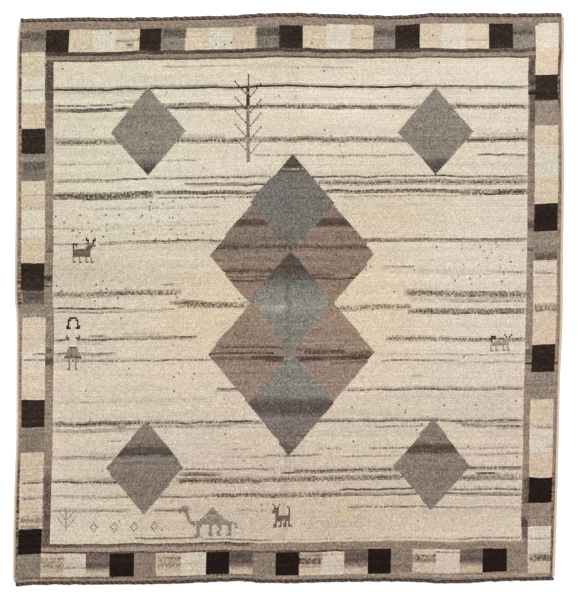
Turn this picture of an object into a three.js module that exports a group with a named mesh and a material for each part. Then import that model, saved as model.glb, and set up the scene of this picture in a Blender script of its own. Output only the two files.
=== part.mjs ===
// A hand-knotted gabbeh rug lying flat: one body of wool knots on its foundation, a cord overcast with
// pale wool down each side, and a dark cord twined over the warp ends at the top and the bottom.
// Millimetres, +Z up, +Y towards the rug's top end. The origin lies under the middle of the rug, on the
// surface that it rests on.

import * as THREE from "three";

// Driving dimensions
const RUG_WIDTH = 1500; // mean width, over the side cords
const RUG_LENGTH = 1560; // mean length, over the end cords
const PILE_THICKNESS = 11; // knots and foundation together
const SELVEDGE = { width: 8, height: 8 };
const END_CORD = { width: 11, height: 9 };
const GAP = 0.3; // between neighbouring pieces

// The edges as they were woven and pulled, from the middle of the rug.
// The sides run from the bottom end to the top, and the ends from left to right.
const LEFT_EDGE = [
  { x: -756, y: -786 },
  { x: -755, y: -713 },
  { x: -752, y: -549 },
  { x: -746, y: -385 },
  { x: -745, y: -220 },
  { x: -745, y: -56 },
  { x: -750, y: 26 },
  { x: -747, y: 272 },
  { x: -745, y: 601 },
  { x: -744, y: 683 },
  { x: -739, y: 769 },
];
const RIGHT_EDGE = [
  { x: 730, y: -770 },
  { x: 731, y: -713 },
  { x: 736, y: -549 },
  { x: 740, y: -385 },
  { x: 744, y: -220 },
  { x: 751, y: -56 },
  { x: 752, y: 108 },
  { x: 755, y: 354 },
  { x: 752, y: 601 },
  { x: 755, y: 683 },
  { x: 754, y: 785 },
];
const BOTTOM_EDGE = [
  { x: -756, y: -786 },
  { x: -661, y: -782 },
  { x: -439, y: -781 },
  { x: -291, y: -778 },
  { x: -144, y: -772 },
  { x: -70, y: -777 },
  { x: 4, y: -778 },
  { x: 152, y: -774 },
  { x: 300, y: -773 },
  { x: 448, y: -778 },
  { x: 595, y: -772 },
  { x: 730, y: -770 },
];
const TOP_EDGE = [
  { x: -739, y: 769 },
  { x: -587, y: 772 },
  { x: -439, y: 772 },
  { x: -291, y: 775 },
  { x: -144, y: 779 },
  { x: -70, y: 784 },
  { x: 4, y: 785 },
  { x: 152, y: 781 },
  { x: 300, y: 778 },
  { x: 374, y: 783 },
  { x: 448, y: 784 },
  { x: 595, y: 784 },
  { x: 754, y: 785 },
];

// The pile's uneven top: a shallow trough where the rug was once folded in two, and slow swells.
const CREASE = { fromLeft: 752, depth: 1.4, halfWidth: 11, lines: [-1.6, -0.7, 0, 0.7, 1.6] };
const SWELLS = [
  { rise: 0.5, across: 1.5, along: 2.5, shift: 0.4 },
  { rise: 0.4, across: -3.5, along: 1.5, shift: 2.1 },
  { rise: 0.3, across: 5.5, along: 4.5, shift: 1.2 },
];

// The cloth is drawn with this many lines each way. Neighbours share them, so their gap stays even.
const COLUMNS = 38;
const ROWS = 36;
const CLOSE_LINES = 0.25; // share of a step within which an even line gives way to a fold line

// The rim of the pile, from its flat top outwards and down to the surface.
const RIM_INSET = 4;
const RIM_LOOPS = [
  { inset: 1.4, drop: 1.2 },
  { inset: 0, drop: 3.6 },
  { inset: 0, drop: PILE_THICKNESS },
];

// The cords' thickness comes and goes along them by this share, in this many slow waves.
const CORD_SWELL = { share: 0.06, waves: 9 };
const CORD_ARC_STEPS = 5;
const CORD_FOOT = 0.35; // share of a cord's height where its round back starts

const PILE_WOOL = { color: 0xd7cbb6, roughness: 1, metalness: 0 };
const SELVEDGE_WOOL = { color: 0xe9ded2, roughness: 0.95, metalness: 0 };
const END_CORD_WOOL = { color: 0x5a483d, roughness: 0.95, metalness: 0 };

// A smooth edge through a table's points, read by the share of its length.
function edgeLine(table) {
  const line = new THREE.SplineCurve(table.map(({ x, y }) => new THREE.Vector2(x, y)));
  return (share) => line.getPointAt(share);
}

const edges = {
  left: edgeLine(LEFT_EDGE),
  right: edgeLine(RIGHT_EDGE),
  bottom: edgeLine(BOTTOM_EDGE),
  top: edgeLine(TOP_EDGE),
};
const corners = {
  bottomLeft: edges.bottom(0),
  bottomRight: edges.bottom(1),
  topLeft: edges.top(0),
  topRight: edges.top(1),
};

// The place on the surface of a point of the rug, given in millimetres of cloth from its left side and
// from its bottom end. The four edges are blended, so warps and rows of knots drift as the edges do.
function clothPoint(fromLeft, fromBottom) {
  const u = THREE.MathUtils.clamp(fromLeft / RUG_WIDTH, 0, 1);
  const v = THREE.MathUtils.clamp(fromBottom / RUG_LENGTH, 0, 1);
  const blend = (axis) =>
    (1 - v) * edges.bottom(u)[axis] +
    v * edges.top(u)[axis] +
    (1 - u) * edges.left(v)[axis] +
    u * edges.right(v)[axis] -
    (1 - u) * (1 - v) * corners.bottomLeft[axis] -
    u * (1 - v) * corners.bottomRight[axis] -
    (1 - u) * v * corners.topLeft[axis] -
    u * v * corners.topRight[axis];
  return { x: blend("x"), y: blend("y") };
}

function pileTop(fromLeft, fromBottom) {
  const fold = (fromLeft - CREASE.fromLeft) / CREASE.halfWidth;
  const trough = CREASE.depth * Math.exp(-fold * fold);
  const swell = SWELLS.reduce((sum, { rise, across, along, shift }) => {
    const turns = (across * fromLeft) / RUG_WIDTH + (along * fromBottom) / RUG_LENGTH;
    return sum + rise * Math.sin(2 * Math.PI * turns + shift);
  }, 0);
  return PILE_THICKNESS - trough + swell;
}

function meshFrom(name, points, triangles, finish) {
  const geometry = new THREE.BufferGeometry();
  geometry.setAttribute("position", new THREE.Float32BufferAttribute(points.flat(), 3));
  geometry.setIndex(triangles.flat());
  geometry.computeVertexNormals();
  const mesh = new THREE.Mesh(geometry, new THREE.MeshStandardMaterial(finish));
  mesh.name = name;
  return mesh;
}

// Even lines between two ends, with the extra ones in place of any that lie close to them.
function lines(from, to, count, extra = []) {
  const even = Array.from({ length: count + 1 }, (_, i) => from + ((to - from) * i) / count);
  const close = ((to - from) / count) * CLOSE_LINES;
  const kept = even.filter((at) => extra.every((other) => Math.abs(at - other) > close));
  return [...kept, ...extra].sort((a, b) => a - b);
}

// The knotted body lies inside these distances from the rug's left side and bottom end.
const low = { x: SELVEDGE.width + GAP, y: END_CORD.width + GAP };
const high = { x: RUG_WIDTH - low.x, y: RUG_LENGTH - low.y };
const foldLines = CREASE.lines.map((k) => CREASE.fromLeft + k * CREASE.halfWidth);
const columns = lines(low.x, high.x, COLUMNS, foldLines);
const rows = lines(low.y, high.y, ROWS);

// The knotted body: a grid of points for the uneven top, a rounded rim and a flat underside.
function pileBody() {
  const lastColumn = columns.length - 1;
  const lastRow = rows.length - 1;
  const points = [];
  const triangles = [];
  const quad = (a, b, c, d) => triangles.push([a, b, c], [a, c, d]);
  const addPoint = (i, j, inset, drop) => {
    const fromLeft = { 0: low.x + inset, [lastColumn]: high.x - inset }[i] ?? columns[i];
    const fromBottom = { 0: low.y + inset, [lastRow]: high.y - inset }[j] ?? rows[j];
    const { x, y } = clothPoint(fromLeft, fromBottom);
    const z = drop === PILE_THICKNESS ? 0 : pileTop(columns[i], rows[j]) - drop;
    points.push([x, y, z]);
  };

  rows.forEach((_, j) => columns.forEach((_, i) => addPoint(i, j, RIM_INSET, 0)));
  const onTop = (i, j) => j * columns.length + i;
  for (let j = 0; j < lastRow; j++) {
    for (let i = 0; i < lastColumn; i++) {
      quad(onTop(i, j), onTop(i + 1, j), onTop(i + 1, j + 1), onTop(i, j + 1));
    }
  }

  const around = [];
  for (let i = 0; i < lastColumn; i++) around.push([i, 0]);
  for (let j = 0; j < lastRow; j++) around.push([lastColumn, j]);
  for (let i = lastColumn; i > 0; i--) around.push([i, lastRow]);
  for (let j = lastRow; j > 0; j--) around.push([0, j]);

  let inner = around.map(([i, j]) => onTop(i, j));
  for (const { inset, drop } of RIM_LOOPS) {
    const first = points.length;
    around.forEach(([i, j]) => addPoint(i, j, inset, drop));
    const outer = around.map((_, k) => first + k);
    around.forEach((_, k) => {
      const next = (k + 1) % around.length;
      quad(inner[k], outer[k], outer[next], inner[next]);
    });
    inner = outer;
  }

  const middle = clothPoint(RUG_WIDTH / 2, RUG_LENGTH / 2);
  const under = points.push([middle.x, middle.y, 0]) - 1;
  inner.forEach((at, k) => triangles.push([under, inner[(k + 1) % inner.length], at]));
  return meshFrom("pile_rug", points, triangles, PILE_WOOL);
}

// A wool cord that lies along one edge with a flat foot and a round back, drawn at the given distances
// along it. place gives the point of cloth at such a distance and a distance across the cord.
function edgeCord(name, { width, height }, distances, shift, place, finish) {
  const section = [{ across: 0, up: 0 }];
  for (let k = 0; k <= CORD_ARC_STEPS; k++) {
    const angle = (Math.PI * k) / CORD_ARC_STEPS;
    const across = (width * (1 - Math.cos(angle))) / 2;
    section.push({ across, up: height * (CORD_FOOT + (1 - CORD_FOOT) * Math.sin(angle)) });
  }
  section.push({ across: width, up: 0 });

  const points = [];
  const triangles = [];
  for (const along of distances) {
    const wave = Math.sin((2 * Math.PI * CORD_SWELL.waves * along) / RUG_LENGTH + shift);
    for (const { across, up } of section) {
      const { x, y } = place(along, across);
      points.push([x, y, up * (1 + CORD_SWELL.share * wave)]);
    }
  }
  const sides = section.length;
  const last = (distances.length - 1) * sides;
  for (let start = 0; start < last; start += sides) {
    for (let k = 0; k < sides; k++) {
      const [a, b] = [start + k, start + ((k + 1) % sides)];
      triangles.push([a, b + sides, b], [a, a + sides, b + sides]);
    }
  }
  for (let k = 1; k < sides - 1; k++) {
    triangles.push([0, k, k + 1], [last, last + k + 1, last + k]);
  }
  return meshFrom(name, points, triangles, finish);
}

// A side cord runs from the top end cord down to the bottom one.
function selvedge(name, outerEdge, shift) {
  const place = (along, across) => clothPoint(outerEdge + across, along);
  return edgeCord(name, SELVEDGE, rows.toReversed(), shift, place, SELVEDGE_WOOL);
}

// An end cord runs across the whole rug, past the ends of the side cords.
function endCord(name, outerEdge, shift) {
  const place = (along, across) => clothPoint(along, outerEdge + across);
  return edgeCord(name, END_CORD, [0, ...columns, RUG_WIDTH], shift, place, END_CORD_WOOL);
}

const rug = new THREE.Group();
rug.add(
  pileBody(),
  selvedge("selvedge_left", 0, 0.3),
  selvedge("selvedge_right", RUG_WIDTH - SELVEDGE.width, 1.9),
  endCord("end_cord_bottom", 0, 2.6),
  endCord("end_cord_top", RUG_LENGTH - END_CORD.width, 0.9),
);

// The uneven outline's box is centred on the origin.
const box = new THREE.Box3().setFromObject(rug);
const centre = box.getCenter(new THREE.Vector3());
rug.position.set(-centre.x, -centre.y, 0);

export default rug;
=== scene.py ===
"""A hand-knotted gabbeh rug of undyed wool, lying flat: its woven foundation, the knots of its pile, the
overcast cords down its sides and the twined cords across its ends. Metres, +Z up, +Y to the top end."""

from collections import namedtuple

import bpy
import numpy as np
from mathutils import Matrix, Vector


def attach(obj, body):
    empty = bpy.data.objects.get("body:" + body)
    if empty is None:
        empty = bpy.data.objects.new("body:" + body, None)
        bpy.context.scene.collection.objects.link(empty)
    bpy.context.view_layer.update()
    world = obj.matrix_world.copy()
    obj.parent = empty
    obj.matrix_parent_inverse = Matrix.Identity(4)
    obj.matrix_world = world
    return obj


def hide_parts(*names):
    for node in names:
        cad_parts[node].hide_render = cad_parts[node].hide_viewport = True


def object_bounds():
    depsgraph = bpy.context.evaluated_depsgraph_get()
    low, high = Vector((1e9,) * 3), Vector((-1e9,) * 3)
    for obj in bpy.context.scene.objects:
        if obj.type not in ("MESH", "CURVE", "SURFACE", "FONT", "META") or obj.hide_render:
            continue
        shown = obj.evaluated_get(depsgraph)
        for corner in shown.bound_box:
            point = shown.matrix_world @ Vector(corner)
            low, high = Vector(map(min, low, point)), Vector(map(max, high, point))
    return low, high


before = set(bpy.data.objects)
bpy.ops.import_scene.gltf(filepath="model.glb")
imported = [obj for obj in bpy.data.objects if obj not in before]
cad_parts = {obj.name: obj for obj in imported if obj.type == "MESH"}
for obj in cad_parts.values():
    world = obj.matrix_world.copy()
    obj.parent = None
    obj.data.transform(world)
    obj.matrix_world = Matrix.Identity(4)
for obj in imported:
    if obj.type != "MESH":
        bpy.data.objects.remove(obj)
cad_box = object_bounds()


# The foundation: undyed wool warps, with two thin wefts beaten in after every row of knots. From the back
# each knot shows as a small flat bead in its own colour, so the pattern can be read there too. The cloth
# left the loom a little uneven, and its edges drift as the tables say, in millimetres from its middle.
MM = 0.001
RUG_WIDTH, RUG_LENGTH = 1500 * MM, 1560 * MM
PILE_THICKNESS = 11 * MM
SELVEDGE_WIDTH, END_CORD_WIDTH, GAP = 8 * MM, 11 * MM, 0.3 * MM
COLUMNS, ROWS = 322, 286  # knots across and rows of knots
FOUNDATION_THICKNESS = 4.5 * MM

LEFT_EDGE = [(-756, -786), (-755, -713), (-752, -549), (-746, -385), (-745, -220), (-745, -56),
             (-750, 26), (-747, 272), (-745, 601), (-744, 683), (-739, 769)]
RIGHT_EDGE = [(730, -770), (731, -713), (736, -549), (740, -385), (744, -220), (751, -56),
              (752, 108), (755, 354), (752, 601), (755, 683), (754, 785)]
BOTTOM_EDGE = [(-756, -786), (-661, -782), (-439, -781), (-291, -778), (-144, -772), (-70, -777),
               (4, -778), (152, -774), (300, -773), (448, -778), (595, -772), (730, -770)]
TOP_EDGE = [(-739, 769), (-587, 772), (-439, 772), (-291, 775), (-144, 779), (-70, 784), (4, 785),
            (152, 781), (300, 778), (374, 783), (448, 784), (595, 784), (754, 785)]


def edge_line(table, steps=400):
    """A smooth line through a table's places, read by the share of its length."""
    at = np.array(table, float) * MM
    before = np.vstack([at[:1], at[:-1]])[:-1]
    after = np.vstack([at[1:], at[-1:]])[1:]
    t = np.linspace(0, 1, steps, endpoint=False)[:, None, None]
    start, end = at[:-1], at[1:]
    leave, arrive = (end - before) / 2, (after - start) / 2
    bend = (2 * start - 2 * end + leave + arrive) * t**3
    bend = bend + (3 * end - 3 * start - 2 * leave - arrive) * t**2 + leave * t + start
    line = np.vstack([bend.transpose(1, 0, 2).reshape(-1, 2), at[-1:]])
    run = np.concatenate([[0], np.cumsum(np.linalg.norm(np.diff(line, axis=0), axis=1))])
    run /= run[-1]
    return lambda share: np.stack([np.interp(share, run, line[:, k]) for k in (0, 1)], axis=-1)


left_line, right_line = edge_line(LEFT_EDGE), edge_line(RIGHT_EDGE)
bottom_line, top_line = edge_line(BOTTOM_EDGE), edge_line(TOP_EDGE)
cad_low, cad_high = cad_box
edge_places = np.array(LEFT_EDGE + RIGHT_EDGE + BOTTOM_EDGE + TOP_EDGE) * MM
outline_middle = np.array([(cad_low[k] + cad_high[k]) / 2 for k in (0, 1)])
outline_middle -= (edge_places.min(0) + edge_places.max(0)) / 2


def cloth_points(from_left, from_bottom):
    """Where points of the cloth lie, given by their distance from its left side and bottom end."""
    u = np.clip(from_left / RUG_WIDTH, 0, 1)[..., None]
    v = np.clip(from_bottom / RUG_LENGTH, 0, 1)[..., None]
    ends = (1 - v) * bottom_line(u[..., 0]) + v * top_line(u[..., 0])
    sides = (1 - u) * left_line(v[..., 0]) + u * right_line(v[..., 0])
    low = (1 - u) * bottom_line(0.0) + u * bottom_line(1.0)
    high = (1 - u) * top_line(0.0) + u * top_line(1.0)
    return ends + sides - (1 - v) * low - v * high + outline_middle


CREASE_FROM_LEFT, CREASE_DEPTH, CREASE_HALF_WIDTH = 752 * MM, 1.4 * MM, 11 * MM
Swell = namedtuple("Swell", "rise across along shift")
SWELLS = [Swell(0.5, 1.5, 2.5, 0.4), Swell(0.4, -3.5, 1.5, 2.1), Swell(0.3, 5.5, 4.5, 1.2)]


def pile_top(from_left, from_bottom):
    """The height of the pile: slow swells, and a shallow trough where the rug was once folded in two."""
    fold = (from_left - CREASE_FROM_LEFT) / CREASE_HALF_WIDTH
    height = PILE_THICKNESS - CREASE_DEPTH * np.exp(-fold * fold)
    for swell in SWELLS:
        turns = swell.across * from_left / RUG_WIDTH + swell.along * from_bottom / RUG_LENGTH
        height = height + swell.rise * MM * np.sin(2 * np.pi * turns + swell.shift)
    return height


def soft_noise(seed, rows, columns, cell_rows, cell_columns):
    """Slow random unevenness over the rows and columns, about -1 to 1."""
    rng = np.random.default_rng(seed)
    grid = rng.normal(0, 0.6, (int(rows / cell_rows) + 3, int(columns / cell_columns) + 3))
    at_row, at_column = np.arange(rows) / cell_rows, np.arange(columns) / cell_columns
    row, column = at_row.astype(int), at_column.astype(int)
    down, across = (at_row - row)[:, None], (at_column - column)[None, :]
    down, across = down * down * (3 - 2 * down), across * across * (3 - 2 * across)
    near = grid[row][:, column] * (1 - across) + grid[row][:, column + 1] * across
    far = grid[row + 1][:, column] * (1 - across) + grid[row + 1][:, column + 1] * across
    return near * (1 - down) + far * down


# Every row of knots wanders with the weft that was beaten down on it, and the sides lean with the warps.
WEFT_DRIFT = [(0, -0.5, 0.0), (45, -0.9, -0.2), (75, 0.1, 0.0), (105, -0.2, -0.4), (130, -0.6, -1.2),
              (160, -0.9, -0.4), (190, -0.7, -0.4), (225, -0.1, -0.1), (262, -1.0, 0.4), (300, -1.0, -0.3),
              (322, -0.4, -0.1)]  # a column, and how many rows it drifts at the top end and at the bottom end
SIDE_LEANS = [(0, -0.3, 1.1), (20, 0.2, 0.9), (34, 0.6, 0.4), (59, 0.1, 0.3), (73, 0.1, 0.1), (100, 0.2, 0.1),
              (128, 0.5, -0.4), (142, 0.6, -0.3), (156, 0.8, 0.2), (170, 0.9, 0.1), (183, 0.6, 0.1),
              (212, 0.5, 0.1), (226, 0.4, 0.3), (238, 0.3, 0.9), (255, 0.3, 0.8), (286, 0.1, 0.6)]
LEFT_LEAN_ENDS, LEFT_LEAN_FADE, RIGHT_LEAN_STARTS, RIGHT_LEAN_FADE = 38, 14, 288, 12  # columns
LEFT_REACH = 1.0 * MM  # the left side cord stands a little further out, and the first knots reach to it
RIM_FADE_ROWS, SIDE_FADE_COLUMNS = 10, 4
ROW_WANDER, ROW_JITTER, COLUMN_WANDER = 0.30, 0.16, 0.25  # of a knot
knot_width = (RUG_WIDTH - 2 * (SELVEDGE_WIDTH + GAP)) / COLUMNS
knot_height = (RUG_LENGTH - 2 * (END_CORD_WIDTH + GAP)) / ROWS
line_rows, line_columns = np.mgrid[0 : ROWS + 1, 0 : COLUMNS + 1]
line_grid = line_rows.shape
up_share = line_rows / ROWS
rim_fade = np.clip(np.minimum(line_rows, ROWS - line_rows) / RIM_FADE_ROWS, 0, 1)
side_fade = np.clip(np.minimum(line_columns, COLUMNS - line_columns) / SIDE_FADE_COLUMNS, 0, 1)
drift_columns, rows_at_top, rows_at_bottom = zip(*WEFT_DRIFT)
drift_top = np.interp(line_columns, drift_columns, rows_at_top)
drift_bottom = np.interp(line_columns, drift_columns, rows_at_bottom)
drift = knot_height * (up_share * drift_top + (1 - up_share) * drift_bottom)
drift += ROW_WANDER * knot_height * soft_noise(11, *line_grid, 9, 9)
drift += ROW_JITTER * knot_height * soft_noise(12, *line_grid, 3, 3)
sway = COLUMN_WANDER * knot_width * soft_noise(13, *line_grid, 16, 6)
lean_rows, columns_at_left, columns_at_right = zip(*SIDE_LEANS)  # how many columns each side leans rightwards
left_lean = np.interp(line_rows, lean_rows, columns_at_left)
left_lean *= np.clip((LEFT_LEAN_ENDS - line_columns) / LEFT_LEAN_FADE, 0, 1)
right_lean = np.interp(line_rows, lean_rows, columns_at_right)
right_lean *= np.clip((line_columns - RIGHT_LEAN_STARTS) / RIGHT_LEAN_FADE, 0, 1)
sway = sway * side_fade + knot_width * (left_lean * np.clip(line_columns, 0, 1) + right_lean * side_fade)
line_from_left = SELVEDGE_WIDTH + GAP + line_columns * knot_width + sway - LEFT_REACH * (line_columns == 0)
line_from_bottom = END_CORD_WIDTH + GAP + line_rows * knot_height + drift * rim_fade


# The chart of the rug, one wool for each knot, as its weaver counted it. Columns are counted from the left
# and rows from the bottom end. The wools are undyed fleeces as they look in daylight, 0 to 255.
WOOLS = {
    "cream": (219, 206, 184), "pale": (220, 209, 189), "beige": (214, 197, 171), "peach": (214, 194, 168),
    "yellow": (213, 197, 170), "celadon": (214, 206, 185), "sand": (170, 151, 134), "taupe": (152, 133, 117),
    "dun": (147, 133, 118), "grey": (141, 130, 118), "slate": (134, 131, 122), "smoke": (121, 115, 105),
    "brown": (122, 103, 89), "mauve": (118, 103, 94), "umber": (109, 94, 84), "charcoal": (84, 74, 66),
    "walnut": (74, 59, 50), "black": (52, 40, 33), "jet": (33, 21, 13),
}
WOOLS = {name: np.array(colour) / 255 for name, colour in WOOLS.items()}
row_at, column_at = np.mgrid[0:ROWS, 0:COLUMNS] + 0.5
chart = np.empty((ROWS, COLUMNS, 3))
chart[:] = WOOLS["taupe"]
area = np.full((ROWS, COLUMNS), "guard", dtype=object)
rng = np.random.default_rng(2024)
luck = rng.random((ROWS, COLUMNS))
slow_luck = soft_noise(31, ROWS, COLUMNS, 1, 8)
ply_turn = np.sign(np.sin(np.pi * (column_at + row_at + 2.2 * soft_noise(32, ROWS, COLUMNS, 3, 9))))
run_luck = luck + 0.8 * np.roll(luck, 1, axis=1) + 0.25 * np.roll(luck, 2, axis=1)
run_luck = run_luck.ravel().argsort().argsort().reshape(ROWS, COLUMNS) / run_luck.size


def knots(left, right, low, high):
    """The knots whose middles lie between these columns and rows."""
    return (column_at >= left) & (column_at < right) & (row_at >= low) & (row_at < high)


def work(where, wool, part=None):
    """Works knots in one wool, and notes which part of the chart they are."""
    chart[where] = WOOLS[wool]
    if part:
        area[where] = part


def blend_in(where, wool, strength):
    """Mixes another wool into some knots."""
    chart[where] += (WOOLS[wool] - chart[where]) * strength


FIELD = (20, 302.5, 19, 265.6)
work(knots(*FIELD), "cream", "field")

# The border is a ring of blocks, dark ones and grey ones between threes of pale wools.
BLOCKS_LEFT, BLOCKS_RIGHT, BLOCKS_LOW, BLOCKS_HIGH = 1.5, 320.4, 2.4, 282
SIDE_BAND = 13.9  # width of the side blocks
TOP_BLOCKS = ("grey black beige pale beige black grey beige celadon beige grey black peach pale yellow "
              "grey black beige pale beige black grey pale").split()
BOTTOM_BLOCKS = ("dun beige pale mauve jet dun beige pale jet mauve dun jet beige pale mauve "
                 "jet dun beige pale mauve jet dun beige").split()
LEFT_BLOCKS = [(11, "grey"), (13, "yellow"), (13, "pale"), (13, "peach"), (13, "black"), (13.5, "grey"),
               (15, "beige"), (14, "pale"), (13.5, "peach"), (14, "black"), (13.5, "grey"), (15, "yellow"),
               (13.5, "pale"), (14, "peach"), (14.3, "black"), (12.2, "dun"), (15, "beige"), (10.5, "pale"),
               (13.9, "beige"), (13.1, "jet"), (11.6, "dun")]  # rows and wool, from the top down
RIGHT_BLOCKS = [(11.4, "pale"), (13.2, "peach"), (13, "black"), (13, "dun"), (12.5, "beige"), (14, "celadon"),
                (13.8, "beige"), (14, "black"), (15.1, "dun"), (13.5, "pale"), (13.5, "beige"), (16, "peach"),
                (14.1, "black"), (13.5, "dun"), (14, "yellow"), (13.5, "pale"), (12.9, "peach"), (13, "jet"),
                (12.1, "dun"), (14, "pale"), (9.6, "beige")]
TOP_BAND_LOW, BOTTOM_BAND_HIGH = 270.6, 14
TOP_SLIPS = (0, -0.3, -0.1, -0.2, -0.2, -0.2, -0.2, -0.5, -0.1, 0.4, 0.7, 0.4, -0.2, 0.6, 0.8, 0.2, 0,
             1.2, 0.4, 0, 0.4, 0.7, 1, 0)  # how far each edge between two blocks strays from an even count
BOTTOM_SLIPS = (0, -0.9, -0.6, -0.8, -0.6, -0.1, -0.2, 0.2, 1.2, 1.5, 1.4, 1.7, 1.8, 1.4, 1.5, 1.7, 1.5,
                0.8, 1.2, 1, 1, 1, 1.4, 0)
# From these columns on, the top and the bottom band gain a row above and lose one below.
TALLER_FROM, NARROWER_FROM = (168, 195), (330, 222)
for wools, slips, low, high, taller, narrower in (
        (TOP_BLOCKS, TOP_SLIPS, TOP_BAND_LOW, BLOCKS_HIGH, TALLER_FROM[0], NARROWER_FROM[0]),
        (BOTTOM_BLOCKS, BOTTOM_SLIPS, BLOCKS_LOW, BOTTOM_BAND_HIGH, TALLER_FROM[1], NARROWER_FROM[1])):
    block_edges = np.linspace(BLOCKS_LEFT, BLOCKS_RIGHT, len(wools) + 1) + slips
    for wool, left, right in zip(wools, block_edges, block_edges[1:]):
        work(knots(left, right, low + (left > narrower), high + (left > taller)), wool, "border")
for blocks, left in ((LEFT_BLOCKS, BLOCKS_LEFT), (RIGHT_BLOCKS, BLOCKS_RIGHT - SIDE_BAND)):
    high = BLOCKS_HIGH
    for rows, wool in blocks:
        work(knots(left, left + SIDE_BAND, high - rows, high), wool, "border")
        high -= rows

# The lozenges step in by a knot in every row. Two large taupe ones overlap in the middle, with three grey
# ones down their axis, and a grey one stands in each corner of the field.
LOZENGES = [  # middle column and row, half the columns and rows, wool and part
    (162.6, 166, 49.2, 51.2, "taupe", "medallion"), (162.4, 115.4, 49.8, 52, "taupe", "medallion"),
    (162.2, 192.2, 25.2, 24.8, "smoke", "grey"), (162, 142.2, 24.4, 25.6, "slate", "grey"),
    (162.3, 90, 26, 26.4, "slate", "grey"), (76.6, 229.4, 22.4, 22.4, "grey", "grey"),
    (247.6, 228.6, 22.6, 22.8, "grey", "grey"), (75.9, 57.6, 23.4, 24.2, "grey", "grey"),
    (248, 57.8, 22.8, 23.4, "grey", "grey"),
]
for column, row, half_columns, half_rows, wool, part in LOZENGES:
    work(abs(column_at - column) / half_columns + abs(row_at - row) / half_rows < 1, wool, part)


# Abrash: a spindle of wool never quite matched the last, so bands and lines of other shades run along the
# rows, some solid and some speckled where two fleeces were spun together. Each list is for one part.
def shade(part, left, right, low, high, wool, strength, feather):
    """Tints a stretch of rows softly."""
    inside = np.clip((row_at - low) / feather + 0.5, 0, 1) * np.clip((high - row_at) / feather + 0.5, 0, 1)
    inside = inside * ((column_at > left) & (column_at < right)) * strength * (area == part)
    blend_in(slice(None), wool, inside[..., None])


PLY_SHARE, CHANCE_SHARE, SLOW_SHARE = 0.4, 0.8, 0.25  # what makes a spun line speckled


def spin_in(part, left, right, row, rows, cover, wool="walnut"):
    """Knots in a line of another wool. A pair of rows says where it starts and ends. The less it covers,
    the more the two wools show side by side, knot by knot."""
    row, end_row = row if isinstance(row, tuple) else (row, row)
    share = np.clip((column_at - left) / max(right - left, 1), 0, 1)
    off = abs(row_at - (row + (end_row - row) * share))
    depth = np.clip(rows / 2 + 0.5 - off, 0, 1) * ((column_at > left) & (column_at < right) & (area == part))
    tail = 5 if part == "field" else 1
    depth = depth * np.clip(np.minimum(column_at - left, right - column_at) / tail + 0.4, 0, 1)
    ply = PLY_SHARE * ply_turn + CHANCE_SHARE * (2 * luck - 1)
    depth = depth * cover * (1 + (1.15 - cover) * ply + SLOW_SHARE * slow_luck)
    blend_in(slice(None), wool, np.clip(depth, 0, 1)[..., None])


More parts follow.
